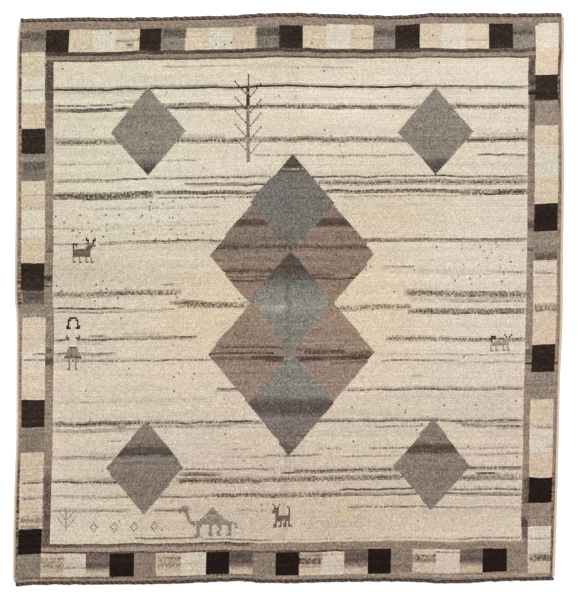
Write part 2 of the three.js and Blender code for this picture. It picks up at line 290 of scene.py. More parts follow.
SHADES = {  # columns from and to, rows from and to, wool, strength, and rows over which it fades
    "guard": [
        (15.5, 20, 244, 265, "walnut", 0.5, 2), (15.5, 20, 230, 244, "umber", 0.75, 8),
        (302.5, 306.5, 250, 265, "walnut", 0.45, 2), (302.5, 306.5, 231, 250, "umber", 0.9, 6),
        (302.5, 306.5, 229, 247, "walnut", 0.25, 5), (15.5, 20, 19, 56, "umber", 0.7, 9),
        (302.5, 306.5, 37, 51, "umber", 0.8, 3), (302.5, 306.5, 19, 30, "umber", 0.65, 3),
        (302.5, 306.5, 190, 231, "umber", 0.18, 8), (15, 140, 14.8, 17.6, "sand", 0.95, 1),
        (140, 304, 14.5, 19, "sand", 0.35, 1), (0, 322, -1, 2.4, "sand", 0.6, 0.5),
        (120, 322, -1, 2.4, "sand", 0.75, 0.5),
    ],
    "field": [
        (20, 80, 249.6, 251, "dun", 0.35, 1.4), (80, 118, 251.4, 253.2, "dun", 0.45, 1),
        (20, 60, 225.4, 227, "dun", 0.3, 1.2), (94, 122, 225.6, 227.4, "dun", 0.35, 1.2),
        (272, 302, 226.4, 227.8, "taupe", 0.35, 1), (232, 300, 141.4, 143.6, "dun", 0.3, 1.4),
        (240, 302, 133.6, 135.2, "beige", 0.6, 1.4), (30, 50, 121, 123, "dun", 0.25, 1.4),
    ],
    "grey": [
        (108, 216, 208.4, 218, "charcoal", 0.95, 1.2), (146, 178, 152, 170, "charcoal", 0.8, 6),
        (150, 174, 157, 170, "walnut", 0.25, 5), (136, 188, 60, 84, "taupe", 0.3, 3),
        (136, 188, 66, 84, "umber", 0.3, 8), (140, 184, 135, 147, "pale", 0.16, 4),
        (143, 160, 137, 140.5, "pale", 0.22, 1), (136, 190, 84.5, 92, "charcoal", 0.75, 5),
        (154, 170, 60, 69, "charcoal", 0.4, 3), (50, 105, 204, 213.6, "charcoal", 1, 6),
        (50, 105, 204, 210, "walnut", 0.3, 3), (222, 274, 204, 214.2, "charcoal", 0.72, 1.4),
        (222, 274, 204, 210, "black", 0.3, 3), (50, 105, 63.6, 68, "charcoal", 0.9, 1.8),
        (50, 105, 66, 73, "umber", 0.35, 5), (222, 274, 63.8, 68.4, "charcoal", 0.85, 1.6),
        (222, 274, 67, 72, "umber", 0.3, 4),
    ],
    "medallion": [
        (126, 200, 180.4, 184, "walnut", 0.85, 1), (114, 160, 167.8, 171.4, "umber", 0.4, 2),
        (160, 212, 168.4, 171, "umber", 0.3, 2), (126, 200, 182, 189, "umber", 0.5, 4.4),
        (112, 212, 146, 180, "umber", 0.2, 12), (112, 160, 170, 180, "umber", 0.14, 8),
        (112, 212, 171, 179, "umber", 0.14, 4), (164, 200, 180.4, 185, "walnut", 0.3, 1),
    ],
    "border": [
        (126, 140.6, 270, 284, "taupe", 0.12, 1), (140, 155, 270, 277, "umber", 0.28, 2),
        (1.5, 15.5, 205, 209, "umber", 0.3, 1), (1.5, 15.5, 135, 142, "beige", 0.13, 3),
        (1.5, 15.5, 66.5, 78.7, "umber", 0.24, 1), (1.5, 15.5, 2.4, 14, "umber", 0.12, 1),
        (306.5, 320.5, 231.4, 244.4, "sand", 0.3, 1), (306.5, 320.5, 25.9, 38, "sand", 0.4, 1),
        (127.6, 141.6, 6, 14, "charcoal", 0.4, 2), (1.5, 15.5, 276.6, 281.6, "umber", 0.34, 1.4),
        (84.7, 98.6, 277.4, 282, "umber", 0.6, 1.2), (140.2, 154.1, 276.8, 281, "umber", 0.7, 1.4),
        (209.6, 223.4, 277, 282, "umber", 0.5, 1.6), (292.8, 306.5, 277.4, 281.6, "umber", 0.36, 1.4),
        (1.5, 15.5, 208.6, 214.6, "umber", 0.6, 2), (1.5, 15.5, 143, 149, "charcoal", 0.9, 5),
        (306.5, 320.5, 161.8, 166.6, "umber", 0.55, 1),
        (306.5, 320.5, 76, 91, "yellow", 0.3, 3), (42.4, 56.4, 0, 5.8, "beige", 0.95, 3),
        (42.4, 56.4, 7, 9.4, "charcoal", 0.4, 1.6), (127.6, 141.6, 0, 6, "beige", 0.95, 4),
        (127.6, 141.6, 11, 15, "charcoal", 0.35, 2), (197.4, 211.4, 0, 6.8, "beige", 0.9, 4),
        (265.6, 279.6, 0, 7.6, "beige", 0.9, 3.6), (306.5, 320.5, 257.5, 269, "peach", 0.4, 2),
        (306.5, 320.5, 177.1, 191.1, "jet", 0.5, 0.1), (306.5, 320.5, 104.9, 119, "jet", 0.4, 0.1),
        (306.5, 320.5, 2.4, 14, "beige", 0.5, 2),
    ],
}
LINES = {  # columns from and to, row or rows, thickness in rows, cover, and wool if it isn't walnut
    "field": [
        (85, 200, (262.5, 261.5), 0.4, 0.8, "dun"), (20, 120, (251.7, 251.6), 1.1, 1, "black"),
        (118, 240, 251.5, 1.3, 0.98, "black"), (236, 302, 251.2, 0.8, 1, "black"),
        (20, 56, 243.5, 0.9, 0.56), (56, 72, 244.9, 0.8, 0.75, "dun"), (83, 113, 243.5, 0.8, 0.52),
        (20, 56, 241.1, 1.6, 0.9), (55, 66, 241.4, 1.5, 0.88), (86, 142, (241.7, 241.2), 1.6, 0.9),
        (140, 302, 241.3, 1.9, 0.62), (20, 302, 224.5, 1.9, 0.66), (262, 302, 224.5, 1.2, 0.7),
        (20, 106, (213.5, 214.5), 0.4, 0.55, "umber"), (139, 236, 216.6, 0.6, 0.55, "umber"),
        (272, 302, (216.5, 216.1), 0.6, 0.8), (20, 78, (204.8, 205.6), 0.9, 0.72),
        (78, 152, 205.5, 1.3, 0.66, "umber"), (170, 244, 205.6, 0.6, 0.86),
        (244, 302, (205.5, 205.2), 0.9, 0.78), (98, 148, (202.4, 201.6), 1, 1),
        (176, 302, (202.4, 202.6), 2, 0.56), (20, 80, (196.7, 197.3), 3.4, 0.64),
        (80, 148, (198.3, 197.6), 1.9, 0.64), (82, 142, 195.5, 0.4, 0.45),
        (180, 264, (198.2, 198), 1.7, 0.7), (262, 302, (197.3, 197.5), 2.8, 0.64),
        (190, 262, 195.5, 0.3, 0.4, "umber"), (40, 120, 190.5, 0.3, 0.26), (80, 118, 183.5, 0.3, 0.12),
        (20, 118, (180.5, 181.5), 0.6, 0.5, "dun"), (20, 46, 172.5, 0.5, 0.7, "umber"),
        (47, 130, (173.1, 173.3), 1.6, 0.48, "umber"), (80, 130, 173.5, 0.5, 0.5),
        (200, 302, (173, 173.1), 1.1, 0.92), (262, 302, 170.9, 0.4, 0.45, "dun"),
        (216, 236, 159.2, 0.8, 0.75, "umber"), (236, 302, (157.6, 157.4), 0.5, 0.15, "umber"),
        (220, 302, (156.1, 155.9), 0.5, 0.3, "umber"), (282, 302, (156.8, 156.2), 0.6, 0.5),
        (86, 93, 151.5, 0.7, 0.75, "umber"), (20, 97, (146.3, 147.3), 2.3, 0.5),
        (45, 90, 147.5, 1.6, 0.35, "umber"), (90, 112, 142, 1.1, 0.95), (94, 138, (140.7, 140.1), 2.8, 0.5),
        (20, 63, 139.5, 0.8, 0.78), (20, 94, (137.5, 138.2), 0.7, 0.58, "umber"),
        (229, 302, (145.9, 145.1), 3.1, 0.47), (254, 302, (141.9, 141.5), 0.7, 0.45),
        (188, 234, (138.6, 138.8), 2.2, 0.46), (231, 302, 136.4, 2.6, 0.65),
        (41, 52, 125.5, 0.6, 0.7, "umber"), (60, 86, 126, 0.6, 0.6, "umber"),
        (20, 106, (123.4, 124.2), 1, 0.8), (218, 302, (122.6, 122.1), 1.8, 0.52),
        (20, 58, (116.3, 116.2), 1.3, 0.58, "umber"), (20, 120, (112.9, 112.5), 0.9, 0.58),
        (212, 302, (115, 114.5), 0.4, 0.42, "umber"), (215, 262, (111.6, 111.2), 0.5, 0.56),
        (262, 302, 110.6, 0.5, 0.28, "umber"), (234, 242, 103.5, 0.6, 0.3), (118, 132, 97.2, 1.2, 0.7),
        (194, 302, (96.7, 96.9), 1, 0.7), (20, 112, (91.3, 92.2), 0.5, 0.25, "umber"),
        (20, 74, (80.5, 80.6), 1.9, 0.76), (74, 148, (80.6, 80.2), 1.5, 0.58), (178, 262, 80.8, 1, 0.78),
        (260, 302, 80.4, 1.6, 0.58), (20, 72, (76.8, 77.2), 0.8, 0.78, "umber"), (56, 64, 78.4, 0.6, 0.6),
        (78, 129, (78.4, 78.2), 0.9, 0.44), (129, 150, 77.5, 0.2, 0.5, "dun"),
        (213, 243, 77.5, 0.6, 0.5, "umber"), (264, 288, (78.3, 77.6), 0.7, 0.72),
        (286, 302, (77.2, 77.4), 1.3, 0.74), (53, 61, 71.3, 0.6, 0.55), (180, 194, 66.5, 0.5, 0.5),
        (210, 235, 66.4, 0.8, 0.5), (260, 302, 66.3, 0.5, 0.42, "umber"), (127, 139, 66.4, 0.5, 0.7, "dun"),
        (40, 60, (65, 64.8), 0.6, 0.6, "umber"), (20, 62, (63.1, 63), 0.8, 0.7), (147, 182, 63.4, 0.6, 0.6),
        (122, 149, (62.2, 62.4), 0.3, 0.65, "dun"), (190, 232, 62.4, 0.3, 0.5, "umber"),
        (262, 302, 63.2, 0.6, 0.6, "umber"), (98, 154, (56.5, 56.2), 0.5, 0.75, "umber"),
        (157, 170, (54.5, 54.8), 0.8, 0.7), (166, 232, (55.2, 55.4), 1.8, 0.54),
        (268, 302, (56.4, 56.2), 1.5, 0.65), (97, 122, 53.8, 1.3, 0.8), (30, 60, 52.6, 0.7, 0.2, "umber"),
        (95, 150, 51.8, 2.6, 0.2, "dun"), (150, 232, (51.8, 52), 2.4, 0.45, "dun"),
        (95, 232, (50.9, 51.1), 1.3, 0.6), (264, 302, (51.8, 52.2), 2.2, 0.5, "dun"),
        (264, 302, 51, 0.8, 0.86), (274, 288, 53.5, 1, 0.7), (20, 62, (50.7, 50.5), 1.5, 0.63),
        (93, 146, (50, 49.8), 1.4, 0.38), (193, 242, (45.6, 45.4), 1.2, 1, "umber"),
        (258, 302, 45.6, 1.4, 0.62, "umber"), (20, 68, (43.2, 42.8), 0.5, 0.75), (82, 118, 42.8, 0.6, 0.78),
        (116, 194, (42.9, 43.5), 2.2, 0.46), (190, 242, (43, 42.8), 0.8, 0.97),
        (256, 302, (43.3, 42.8), 0.8, 1, "black"), (20, 68, (36, 35.8), 0.9, 0.72, "umber"),
        (80, 102, 35.7, 0.9, 0.84, "umber"), (130, 160, 35.5, 0.2, 0.5, "dun"),
        (198, 240, 36.6, 1.2, 0.52, "umber"), (240, 302, (36.4, 36), 0.5, 0.8, "umber"),
        (70, 112, 21.3, 0.7, 0.8), (112, 154, 20.6, 0.3, 0.85, "umber"), (153, 302, 20.4, 0.2, 0.45, "dun"),
        (262, 302, (20.7, 20.5), 0.8, 0.45, "umber"),
    ],
    "grey": [
        (150, 174, 209.5, 0.8, 0.5, "cream"),
    ],
    "medallion": [
        (120, 150, 172, 3, 0.25, "umber"), (116, 211, 169.8, 1.3, 0.6), (120, 157, 157.5, 1.9, 0.58),
        (122, 157, 154.5, 0.8, 0.45), (126, 157, 152.6, 0.8, 0.85), (171, 188, 155.5, 1.2, 1),
        (198, 206, 155.6, 0.9, 0.7), (172, 204, 153.6, 0.9, 0.95), (176, 200, 152.5, 0.3, 0.3, "umber"),
        (116, 160, 119.6, 0.5, 0.42, "umber"), (120, 160, 118.4, 0.9, 0.5), (112, 152, 115.7, 0.8, 0.85),
        (170, 194, (115.9, 116.1), 2.2, 0.48), (164, 186, 117.6, 0.6, 0.85, "umber"),
        (192, 212, 114.5, 2.4, 0.46), (114, 158, 112.9, 0.9, 0.9), (139, 158, 113.1, 1.3, 1),
        (164, 181, 112.7, 2, 0.95), (180, 212, 113, 1.2, 0.95), (197, 212, 112.7, 1.5, 0.85),
        (186, 209, 110.8, 0.7, 0.65), (118, 150, 109.5, 0.6, 0.4, "umber"), (147, 158, 111.4, 0.8, 0.8),
        (174, 180, 127.5, 0.5, 0.8, "umber"),
    ],
    "border": [
        (1, 15.4, 279, 3.2, 0.48, "charcoal"), (57, 71, 276.6, 1, 0.46, "umber"), (63, 67, 274.2, 1, 1),
        (85, 98.4, 279.2, 2.6, 0.7, "charcoal"), (140.6, 154.2, 278.8, 3, 0.72, "charcoal"),
        (196, 210, 276.4, 0.6, 0.3, "umber"), (210, 223, 279.1, 2.8, 0.42, "charcoal"),
        (265, 279, 275.7, 0.7, 0.52, "dun"), (293, 306, 279, 2.2, 0.4, "charcoal"),
        (2, 15, 251.6, 0.8, 0.56, "dun"), (2, 15, 212.4, 4.2, 0.48, "charcoal"),
        (2, 15, 191.2, 0.5, 0.54, "dun"), (2, 15, 180.7, 0.4, 0.5, "dun"),
        (7, 15.5, 116.4, 0.8, 0.95, "umber"), (2, 15, 113.6, 0.9, 0.6, "umber"), (2, 15, 50.6, 1.2, 0.42),
        (2, 15, 42.8, 1, 0.6, "umber"), (2, 15, 32.6, 1.8, 0.5, "dun"), (2, 15, 31.1, 1.1, 0.85, "umber"),
        (2, 14, 28, 0.8, 0.8, "umber"), (306.6, 320.4, 163.6, 3.4, 0.42, "charcoal"),
        (307, 320, (156, 155.4), 1, 0.64, "umber"), (306.6, 320.4, (137.8, 137.4), 3.8, 0.56, "umber"),
        (307, 320, (77.2, 76.6), 1.2, 0.44, "umber"), (316, 320, 66.8, 0.7, 0.6, "umber"),
        (307, 320, 19.7, 0.6, 0.54, "umber"), (306.6, 320.4, (9.9, 9.5), 3.4, 0.44),
        (15, 29, 9, 7, 0.2, "umber"), (15.4, 29, (7.6, 7.4), 0.8, 0.4, "umber"),
        (18, 29, (11.4, 11.6), 0.8, 0.4, "umber"), (15.4, 27, (4.6, 4.4), 0.7, 0.3, "umber"),
        (29, 43, 6.6, 1, 0.34, "umber"), (85, 99, 9, 7, 0.24, "umber"),
        (85, 99, (7.4, 7.6), 0.8, 0.4, "umber"), (87, 99, (11.2, 11.4), 1, 0.4, "umber"),
        (99, 112, 8.4, 0.8, 0.25, "dun"), (169.5, 183.6, 9.5, 3.6, 0.6),
        (169, 184, 12.6, 1.8, 0.45, "umber"), (169, 184, 6.4, 0.6, 0.5, "dun"),
        (184, 197, 12.4, 0.8, 0.5, "dun"), (238, 252.4, 10.3, 3.8, 0.46),
        (197.4, 211.4, 10, 7, 0.26, "charcoal"), (265.6, 279.6, 10.6, 5, 0.26, "charcoal"),
        (252, 266, 13.4, 0.6, 0.7, "umber"),
    ],
    "guard": [
        (13, 22, 255.5, 19, 0.5), (13, 22, 238, 12, 0.2), (300, 309, 258, 14, 0.45), (13, 22, 36, 34, 0.3),
        (300, 309, 44, 12, 0.35), (300, 309, 26, 11, 0.3), (15, 307, 269.8, 1.8, 1),
        (15.5, 306.6, 266, 1, 1), (15, 140, 18.1, 1.6, 0.56), (15, 200, 14.3, 0.9, 0.88),
        (2, 62, 1.7, 0.9, 0.7), (62, 150, 1.6, 0.7, 0.5), (15, 21, 168.8, 1.2, 0.7),
        (15, 21, 155.2, 3.2, 0.85), (15, 21, 151.6, 1, 0.7), (15, 21, 118, 2.4, 0.45),
        (15, 21, 112.8, 3.4, 0.85), (15, 21, 181.6, 1, 0.7, "umber"), (302, 307, 248.4, 2.4, 1, "black"),
        (302, 307, 180.4, 4.6, 0.85, "umber"), (302, 307, 180.2, 1.4, 0.6), (302, 307, 167.5, 1, 0.8),
        (302, 307, 147.6, 1.6, 0.25, "umber"), (302, 307, 115.4, 3.2, 0.6),
        (302, 307, 112.6, 0.8, 0.8, "umber"), (302, 322, 109.5, 1, 1, "black"), (302, 307, 28.2, 3.2, 1),
    ],
}
for part, shades in SHADES.items():
    for values in shades:
        shade(part, *values)
for part, lines in LINES.items():
    for values in lines:
        spin_in(part, *values)

# Outermost, a narrow stripe of changing browns runs down each side between the blocks and the selvedge.
LEFT_STRIPE = [(232, 281, "walnut", 0.7), (160, 232, "umber", 0.3), (140, 160, "walnut", 0.45),
               (62, 140, "umber", 0.25), (14, 62, "walnut", 0.6), (0, 14, "umber", 0.4)]
RIGHT_STRIPE = [(240, 272, "walnut", 0.65), (205, 240, "umber", 0.05), (176, 205, "umber", 0.3),
                (54, 176, "umber", 0.05), (38, 54, "walnut", 0.45), (0, 38, "walnut", 0.35)]
STRIPE_WARMTH = np.array((8, 4, -3)) / 255
for stripes, left, right in ((LEFT_STRIPE, 0, BLOCKS_LEFT), (RIGHT_STRIPE, BLOCKS_RIGHT, COLUMNS)):
    for low, high, wool, share in stripes:
        here = knots(left, right, low, high)
        cover = np.clip(share + 0.6 * (2 * luck - 1) * min(1, 3 * share), 0, 1)
        chart[here] += ((WOOLS[wool] - chart) * cover[..., None])[here] + STRIPE_WARMTH

# Small motifs, counted one by one. Letters stand for wools, and a dot leaves the ground as it is.
MOTIF_WOOLS = {"t": "taupe", "k": "black", "g": "grey", "u": "umber", "p": "pale", "b": "brown",
               "m": "mauve", "s": "smoke", "y": "sand"}
GOAT = """
.........k....k
.........kk..kk
..........k..k.
.kkk......bbbb.
.k.k......bbbbb
.k.......bbbb..
.bbbbbbbbbbb...
.bbmmmmmmmbb...
.bmmmmmmmmbb...
.bbbbbbbbbbb...
.t...t...t..t..
.t...t...t..t..
.tt..tt..tt.tt.
"""
KID = """
.........k...k
.kkk......k.k.
.k.k.....yyyy.
.k.......yyy..
.yyyyyyyyyyy..
.yttttttttty..
.y..y...y..t..
.t..t...t..t..
.tt.tt..tt.tt.
"""
DOG = """
b...b.......
.u.u.....b..
.buu......u.
bbbu......u.
bbbb......b.
..bu......u.
..bbububbub.
..ubbbubbbb.
..bbbbb.bbb.
..b..b..b.b.
.bb..b.bb.b.
.bu.bu.bu.bb
"""
CAMEL = """
..ssss..............................
.sssss.............ss...............
ssssss............ssss..............
ss.sss...........ssssss.............
....ss..........ssssssss............
....sss........sssssssssss..........
.....ss.......sssssssssssss.........
.....sss.....sssssssssssssssss......
......ssss.ssssssssssssssssssssss...
.......sssssssssssssssssssssssss.ss.
.........s.sss....sss..sss...sss..s.
...........ss.....ss....ss....ss..ss
...........ss.....ss....ss....ss....
...........ss.....ss...ss.....ss....
...........ss.....ss...ss.....ss....
..........sss.....sss..sss...sss....
"""
DANCER = """
...kkkkk...
..kk...kk..
..k.....k..
..k.....k..
.kk.....kk.
.kkk...kkk.
...........
....ppp....
....ppp....
.u.ppppp.u.
.uuppppuuu.
..upppppu..
...ppppp...
...ppppp...
....ppp....
...uuuuu...
..ttttttt..
..ttttttt..
.ttttttttt.
.ttttttttt.
uuuuuuuuuuu
...g...g...
...g...g...
...g...g...
...g...g...
...g...g...
..gg...gg..
"""
SHRUB = """
......t......
.t....t....t.
..t...t...t..
...t..t..t...
....t.t.t....
.t...ttt...t.
..t...t...t..
...t..t..t...
....t.t.t....
.....ttt.....
......t......
......t......
"""
LOZENGE_MOTIF = """
..u..
.u.u.
u...u
.u.u.
..u..
"""
MOTIFS = [(GOAT, 31, 163, 1.0), (KID, 280, 116, 0.96), (DOG, 153, 27, 0.96), (CAMEL, 97, 22, 0.66),
          (DANCER, 26, 108, 1.0), (SHRUB, 23, 25, 0.6)]  # lower left knot, and strength
MOTIFS += [(LOZENGE_MOTIF, column, 25, 0.6) for column in range(44, 92, 12)]
for picture, column, row, strength in MOTIFS:
    for count, letters in enumerate(reversed(picture.split())):
        for step, letter in enumerate(letters):
            if letter != ".":
                blend_in((row + count, column + step), MOTIF_WOOLS[letter], strength)

# The tree: a trunk two knots wide, with a thin top, and branches that climb a knot in every row.
TRUNK_COLUMN, TRUNK_LOW, TRUNK_HIGH, TREE_TOP, MAUVE_FROM, WALNUT_FROM = 135, 213, 251, 258, 225, 241
BRANCH_PITCH, BRANCH_LOWS, BRANCHES, BRANCH_REACH = 7.3, (218, 216), 5, 7
work(knots(TRUNK_COLUMN, TRUNK_COLUMN + 2, TRUNK_LOW, TRUNK_HIGH), "taupe")
work(knots(TRUNK_COLUMN, TRUNK_COLUMN + 2, MAUVE_FROM, TRUNK_HIGH) & (run_luck < 0.4), "mauve")
work(knots(TRUNK_COLUMN + 1, TRUNK_COLUMN + 2, TRUNK_HIGH, TREE_TOP), "umber")
work(knots(TRUNK_COLUMN, TRUNK_COLUMN + 2, WALNUT_FROM, TRUNK_HIGH) & (run_luck < 0.85), "walnut")
for branch in range(BRANCHES):
    for step in range(1, BRANCH_REACH + 1):
        strength = (0.85 if step % 2 else 0.5) * (0.68 + 0.1 * branch)
        for low, column in zip(BRANCH_LOWS, (TRUNK_COLUMN - step, TRUNK_COLUMN + 1 + step)):
            blend_in((int(low + branch * BRANCH_PITCH) + step, column), "walnut", strength)

# Odd dark fibres spun in with the pale wool show as single knots, more of them in some places.
FLECKS = [(21, 112, 174, 196, 48), (22, 66, 143, 154, 14), (255, 300, 150, 172, 22), (205, 255, 150, 172, 5),
          (25, 110, 95, 110, 9), (150, 215, 218, 262, 9), (21, 302, 20, 265, 70), (225, 300, 82, 92, 7),
          (2, 320, 270, 282, 18)]  # columns, rows, and how many
for left, right, low, high, count in FLECKS:
    for _ in range(count):
        at = (rng.integers(low, high), rng.integers(left, right))
        blend_in(at, "walnut", rng.uniform(0.2, 0.8))

# Fleeces changed slowly over the months on the loom, and there is one old spill. The rug is also darker
# towards its bottom end, and narrow dark tints down the old fold are painted shade in its crease.
TINTS = [  # middle column and row, reach in columns and rows, and change of colour
    (60, 225, 90, 70, (2, 6, 5)), (270, 240, 70, 60, (7, 7, 10)), (110, 135, 34, 22, (4, -1, -9)),
    (212, 138, 30, 30, (4, -1, -10)), (262, 150, 60, 50, (6, 6, 9)), (30, 155, 24, 30, (-8, -8, -8)),
    (160, 40, 130, 30, (-9, -12, -11)), (160, 4, 330, 18, (-5, -6, -6)), (196, 34, 20, 5, (-3, -7, -14)),
    (45, 30, 30, 16, (4, 6, 7)), (290, 60, 40, 50, (-4, -6, -4)), (163, 230, 4, 60, (2, -2, -4)),
    (100, 55, 60, 40, (-4, -6, -6)), (160, 245, 80, 26, (9, 9, 11)), (314, 270, 9, 14, (14, 12, 13)),
    (275, 262, 40, 8, (6, 8, 8)), (200, 240, 34, 12, (6, 6, 6)), (120, 208, 50, 14, (4, 4, 7)),
    (70, 190, 40, 12, (2, 3, 6)), (222, 187, 30, 14, (-4, -7, -12)), (286, 250, 18, 6, (5, 7, 10)),
    (88, 153, 34, 9, (-6, -7, -6)), (250, 93, 44, 2.5, (-7, -8, -7)), (205, 79, 30, 8, (-5, -6, -4)),
    (85, 62, 34, 12, (1, 2, 7)), (80, 105, 34, 8, (4, 3, 4)), (34, 33, 16, 3, (-8, -9, -8)),
    (288, 159, 16, 5, (5, 5, 5)), (160, 90, 400, 60, (0, -1.5, 1)), (275, 277, 22, 8, (6, 5, 6)),
    (8, 128, 8, 9, (7, 8, 9)), (8, 100, 8, 9, (5, 7, 8)), (8, 59, 8, 9, (-8, -9, -8)),
    (8, 46, 8, 6, (-6, -11, -10)), (8, 34, 8, 8, (-5, -7, -4)), (314, 155, 8, 9, (-4, -9, -11)),
    (314, 80, 8, 30, (4, 4, 4)), (314, 7, 8, 8, (-7, -6, 0)), (29, 8, 14, 9, (-8, -10, -7)),
    (225, 8, 60, 9, (-4, -6, -5)), (163, 95, 24, 6, (6, 3, 0)), (272.5, 276, 6, 6, (9, 10, 10)),
    (300, 274, 6, 5, (16, 14, 11)), (313.5, 144, 8, 6, (8, 10, 10)), (313.5, 152.5, 8, 4, (-7, -8, -9)),
    (18, 90, 4, 30, (9, 9, 7)), (304.5, 75, 4, 24, (10, 9, 3)), (8.5, 273, 7, 4, (11, 6, 0)),
    (8, 46.5, 8, 4, (-7, -7, -9)), (22, 8.5, 7, 7, (-12, -10, -8)), (36, 8.5, 7, 7, (-5, -7, -7)),
    (50, 4, 8, 3, (-8, -8, -1)), (8, 100, 8, 6, (5, 8, 7)), (52, 159, 36, 6, (-7, -6, -6)),
    (226, 129, 12, 6, (-5, -4, -4)), (90, 72, 34, 6, (3, 5, 5)), (265, 72, 26, 6, (5, 5, 5)),
    (52, 44, 34, 6, (-5, -4, -4)), (290, 44, 16, 6, (4, 5, 7)), (191, 27, 12, 5, (-5, -5, -4)),
    (151, 259, 14, 6, (-5, -4, -6)), (247.6, 228, 20, 20, (-5, -5, -8)), (248, 56, 20, 20, (-3, -3, -8)),
    (76, 56, 20, 20, (-4, -2, -7)), (162, 145, 26, 5, (-12, -12, -12)), (132, 127, 10, 6, (-10, -8, -8)),
    (148, 114, 10, 5, (-12, -10, -10)), (162.5, 211.5, 6, 3, (-14, -14, -14)),
    # The narrow darkening tints down columns 160 to 164, long along the rows, are painted shade in the crease
    # of the old fold.
    (160.3, 146, 1.8, 15, (-17, -16, -15)), (160.3, 128, 1.6, 12, (-13, -13, -13)),
    (160.5, 76, 1.8, 12, (-10, -10, -10)), (155, 193.5, 6, 5, (-9, 0, 9)), (146, 188, 4, 3.5, (-5, 0, 7)),
    (166, 178, 10, 6, (-6, 0, 6)), (167, 149.5, 4, 3.5, (-10, -1, 9)), (157, 142, 2.4, 5, (13, 13, 13)),
    (54, 284.5, 44, 3, (-7, -7, -7)), (162, 55, 3, 12, (-8, -8, -8)), (160.5, 33, 2, 12, (-9, -9, -9)),
    (164, 250, 3, 20, (-5, -5, -4)),
]
for column, row, reach_columns, reach_rows, change in TINTS:
    off = ((column_at - column) / reach_columns) ** 2 + ((row_at - row) / reach_rows) ** 2
    pale_share = np.clip(chart.mean(2) / WOOLS["cream"].mean(), 0, 1)
    weight = np.exp(-off) * pale_share
    chart += weight[..., None] * np.array(change) / 255

# The spin of each knot's yarn: every knot differs a little, and so does every length of yarn along a row.
# Grey and brown fleeces are heathered, so their knots differ most, and the guards are of mixed lengths.
GUARD_STREAKS = 0.025
KNOT_GRAIN, HEATHER_GRAIN, HUE_GRAIN = 0.004, 0.014, 0.004
ROW_GRAIN, YARN_GRAIN, HEATHER_ROWS = 0.019, 0.011, 0.9
darkness = np.clip((0.86 - chart.mean(2)) / 0.3, 0, 1.7)
grain = rng.normal(0, 1, (ROWS, COLUMNS)) * (KNOT_GRAIN + HEATHER_GRAIN * darkness)
row_grain = ROW_GRAIN * soft_noise(23, ROWS, COLUMNS, 0.5, 90)
row_grain = row_grain + YARN_GRAIN * soft_noise(21, ROWS, COLUMNS, 0.5, 20)
grain += row_grain * (1 + HEATHER_ROWS * darkness)
grain += GUARD_STREAKS * soft_noise(24, ROWS, COLUMNS, 0.7, 50) * (area == "guard")
chart += grain[..., None] * (0.35 + 0.65 * chart.mean(2, keepdims=True))
chart += rng.normal(0, HUE_GRAIN, (ROWS, COLUMNS, 3))
chart = np.clip(chart, 0.02, 1)

FLOOR_ALBEDO = 0.9


def given_back(colour):
    """The share of light that a wool gives back, from how it looks in daylight on the white floor."""
    colour = np.asarray(colour, float)
    return np.where(colour <= 0.04045, colour / 12.92, ((colour + 0.055) / 1.055) ** 2.4) * FLOOR_ALBEDO


knot_colours = given_back(chart)


def stand_in_scene(name, data):
    """An object that holds this data, at the origin."""
    made = bpy.data.objects.new(name, data)
    bpy.context.scene.collection.objects.link(made)
    return made


def fresh_mesh(name, points, corners, sides):
    """A mesh of faces with this many sides each, and its object."""
    mesh = bpy.data.meshes.new(name)
    mesh.vertices.add(len(points))
    mesh.vertices.foreach_set("co", np.asarray(points, np.float32).ravel())
    mesh.loops.add(len(corners))
    mesh.loops.foreach_set("vertex_index", np.asarray(corners, np.int32))
    mesh.polygons.add(len(sides))
    starts = np.concatenate([[0], np.cumsum(sides)[:-1]])
    mesh.polygons.foreach_set("loop_start", starts.astype(np.int32))
    mesh.polygons.foreach_set("loop_total", np.asarray(sides, np.int32))
    mesh.update(calc_edges=True)
    mesh.validate()
    return stand_in_scene(name, mesh)


def colour_and_map(mesh, colours, places):
    """Stores the wool's colour and a place on a map of the cloth, for each corner of each face."""
    places_layer = mesh.uv_layers.new(name="OFBake")
    places_layer.uv.foreach_set("vector", np.asarray(places, np.float32).ravel())
    wool_layer = mesh.color_attributes.new("wool", "FLOAT_COLOR", "CORNER")
    full = np.ones((len(colours), 4), np.float32)
    full[:, :3] = colours
    wool_layer.data.foreach_set("color", full.ravel())


def feed(node, inputs):
    """Fills a node's inputs, each from other nodes or with a value of its own."""
    for name, sources in inputs.items():
        for source in sources if isinstance(sources, list) else [sources]:
            if isinstance(source, bpy.types.Node):
                source = source.outputs[0]
            if isinstance(source, bpy.types.NodeSocket):
                node.id_data.links.new(source, node.inputs[name])
            else:
                node.inputs[name].default_value = source


def add_node(tree, kind, inputs=(), **settings):
    """A node of one kind in a tree, with its settings and inputs."""
    made = tree.nodes.new(kind)
    for name, value in settings.items():
        setattr(made, name, value)
    feed(made, dict(inputs))
    return made


def calculate(tree, operation, *inputs):
    """A step of arithmetic on numbers."""
    return add_node(tree, "ShaderNodeMath", dict(enumerate(inputs)), operation=operation)


def calculate_places(tree, operation, *inputs):
    """A step of arithmetic on places or directions."""
    return add_node(tree, "ShaderNodeVectorMath", dict(enumerate(inputs)), operation=operation)


def scaled(tree, place, scale):
    """A place, direction or colour times a number."""
    return add_node(tree, "ShaderNodeVectorMath", {0: place, "Scale": scale}, operation="SCALE")


def open_group(name, kind, takes, gives):
    """A node group with named inputs and outputs, and the node that brings its inputs in."""
    tree = bpy.data.node_groups.new(name, kind)
    for in_out, sockets in (("INPUT", takes), ("OUTPUT", gives)):
        for socket, socket_type in sockets.items():
            tree.interface.new_socket(socket, in_out=in_out, socket_type=socket_type)
    return tree, tree.nodes.new("NodeGroupInput")


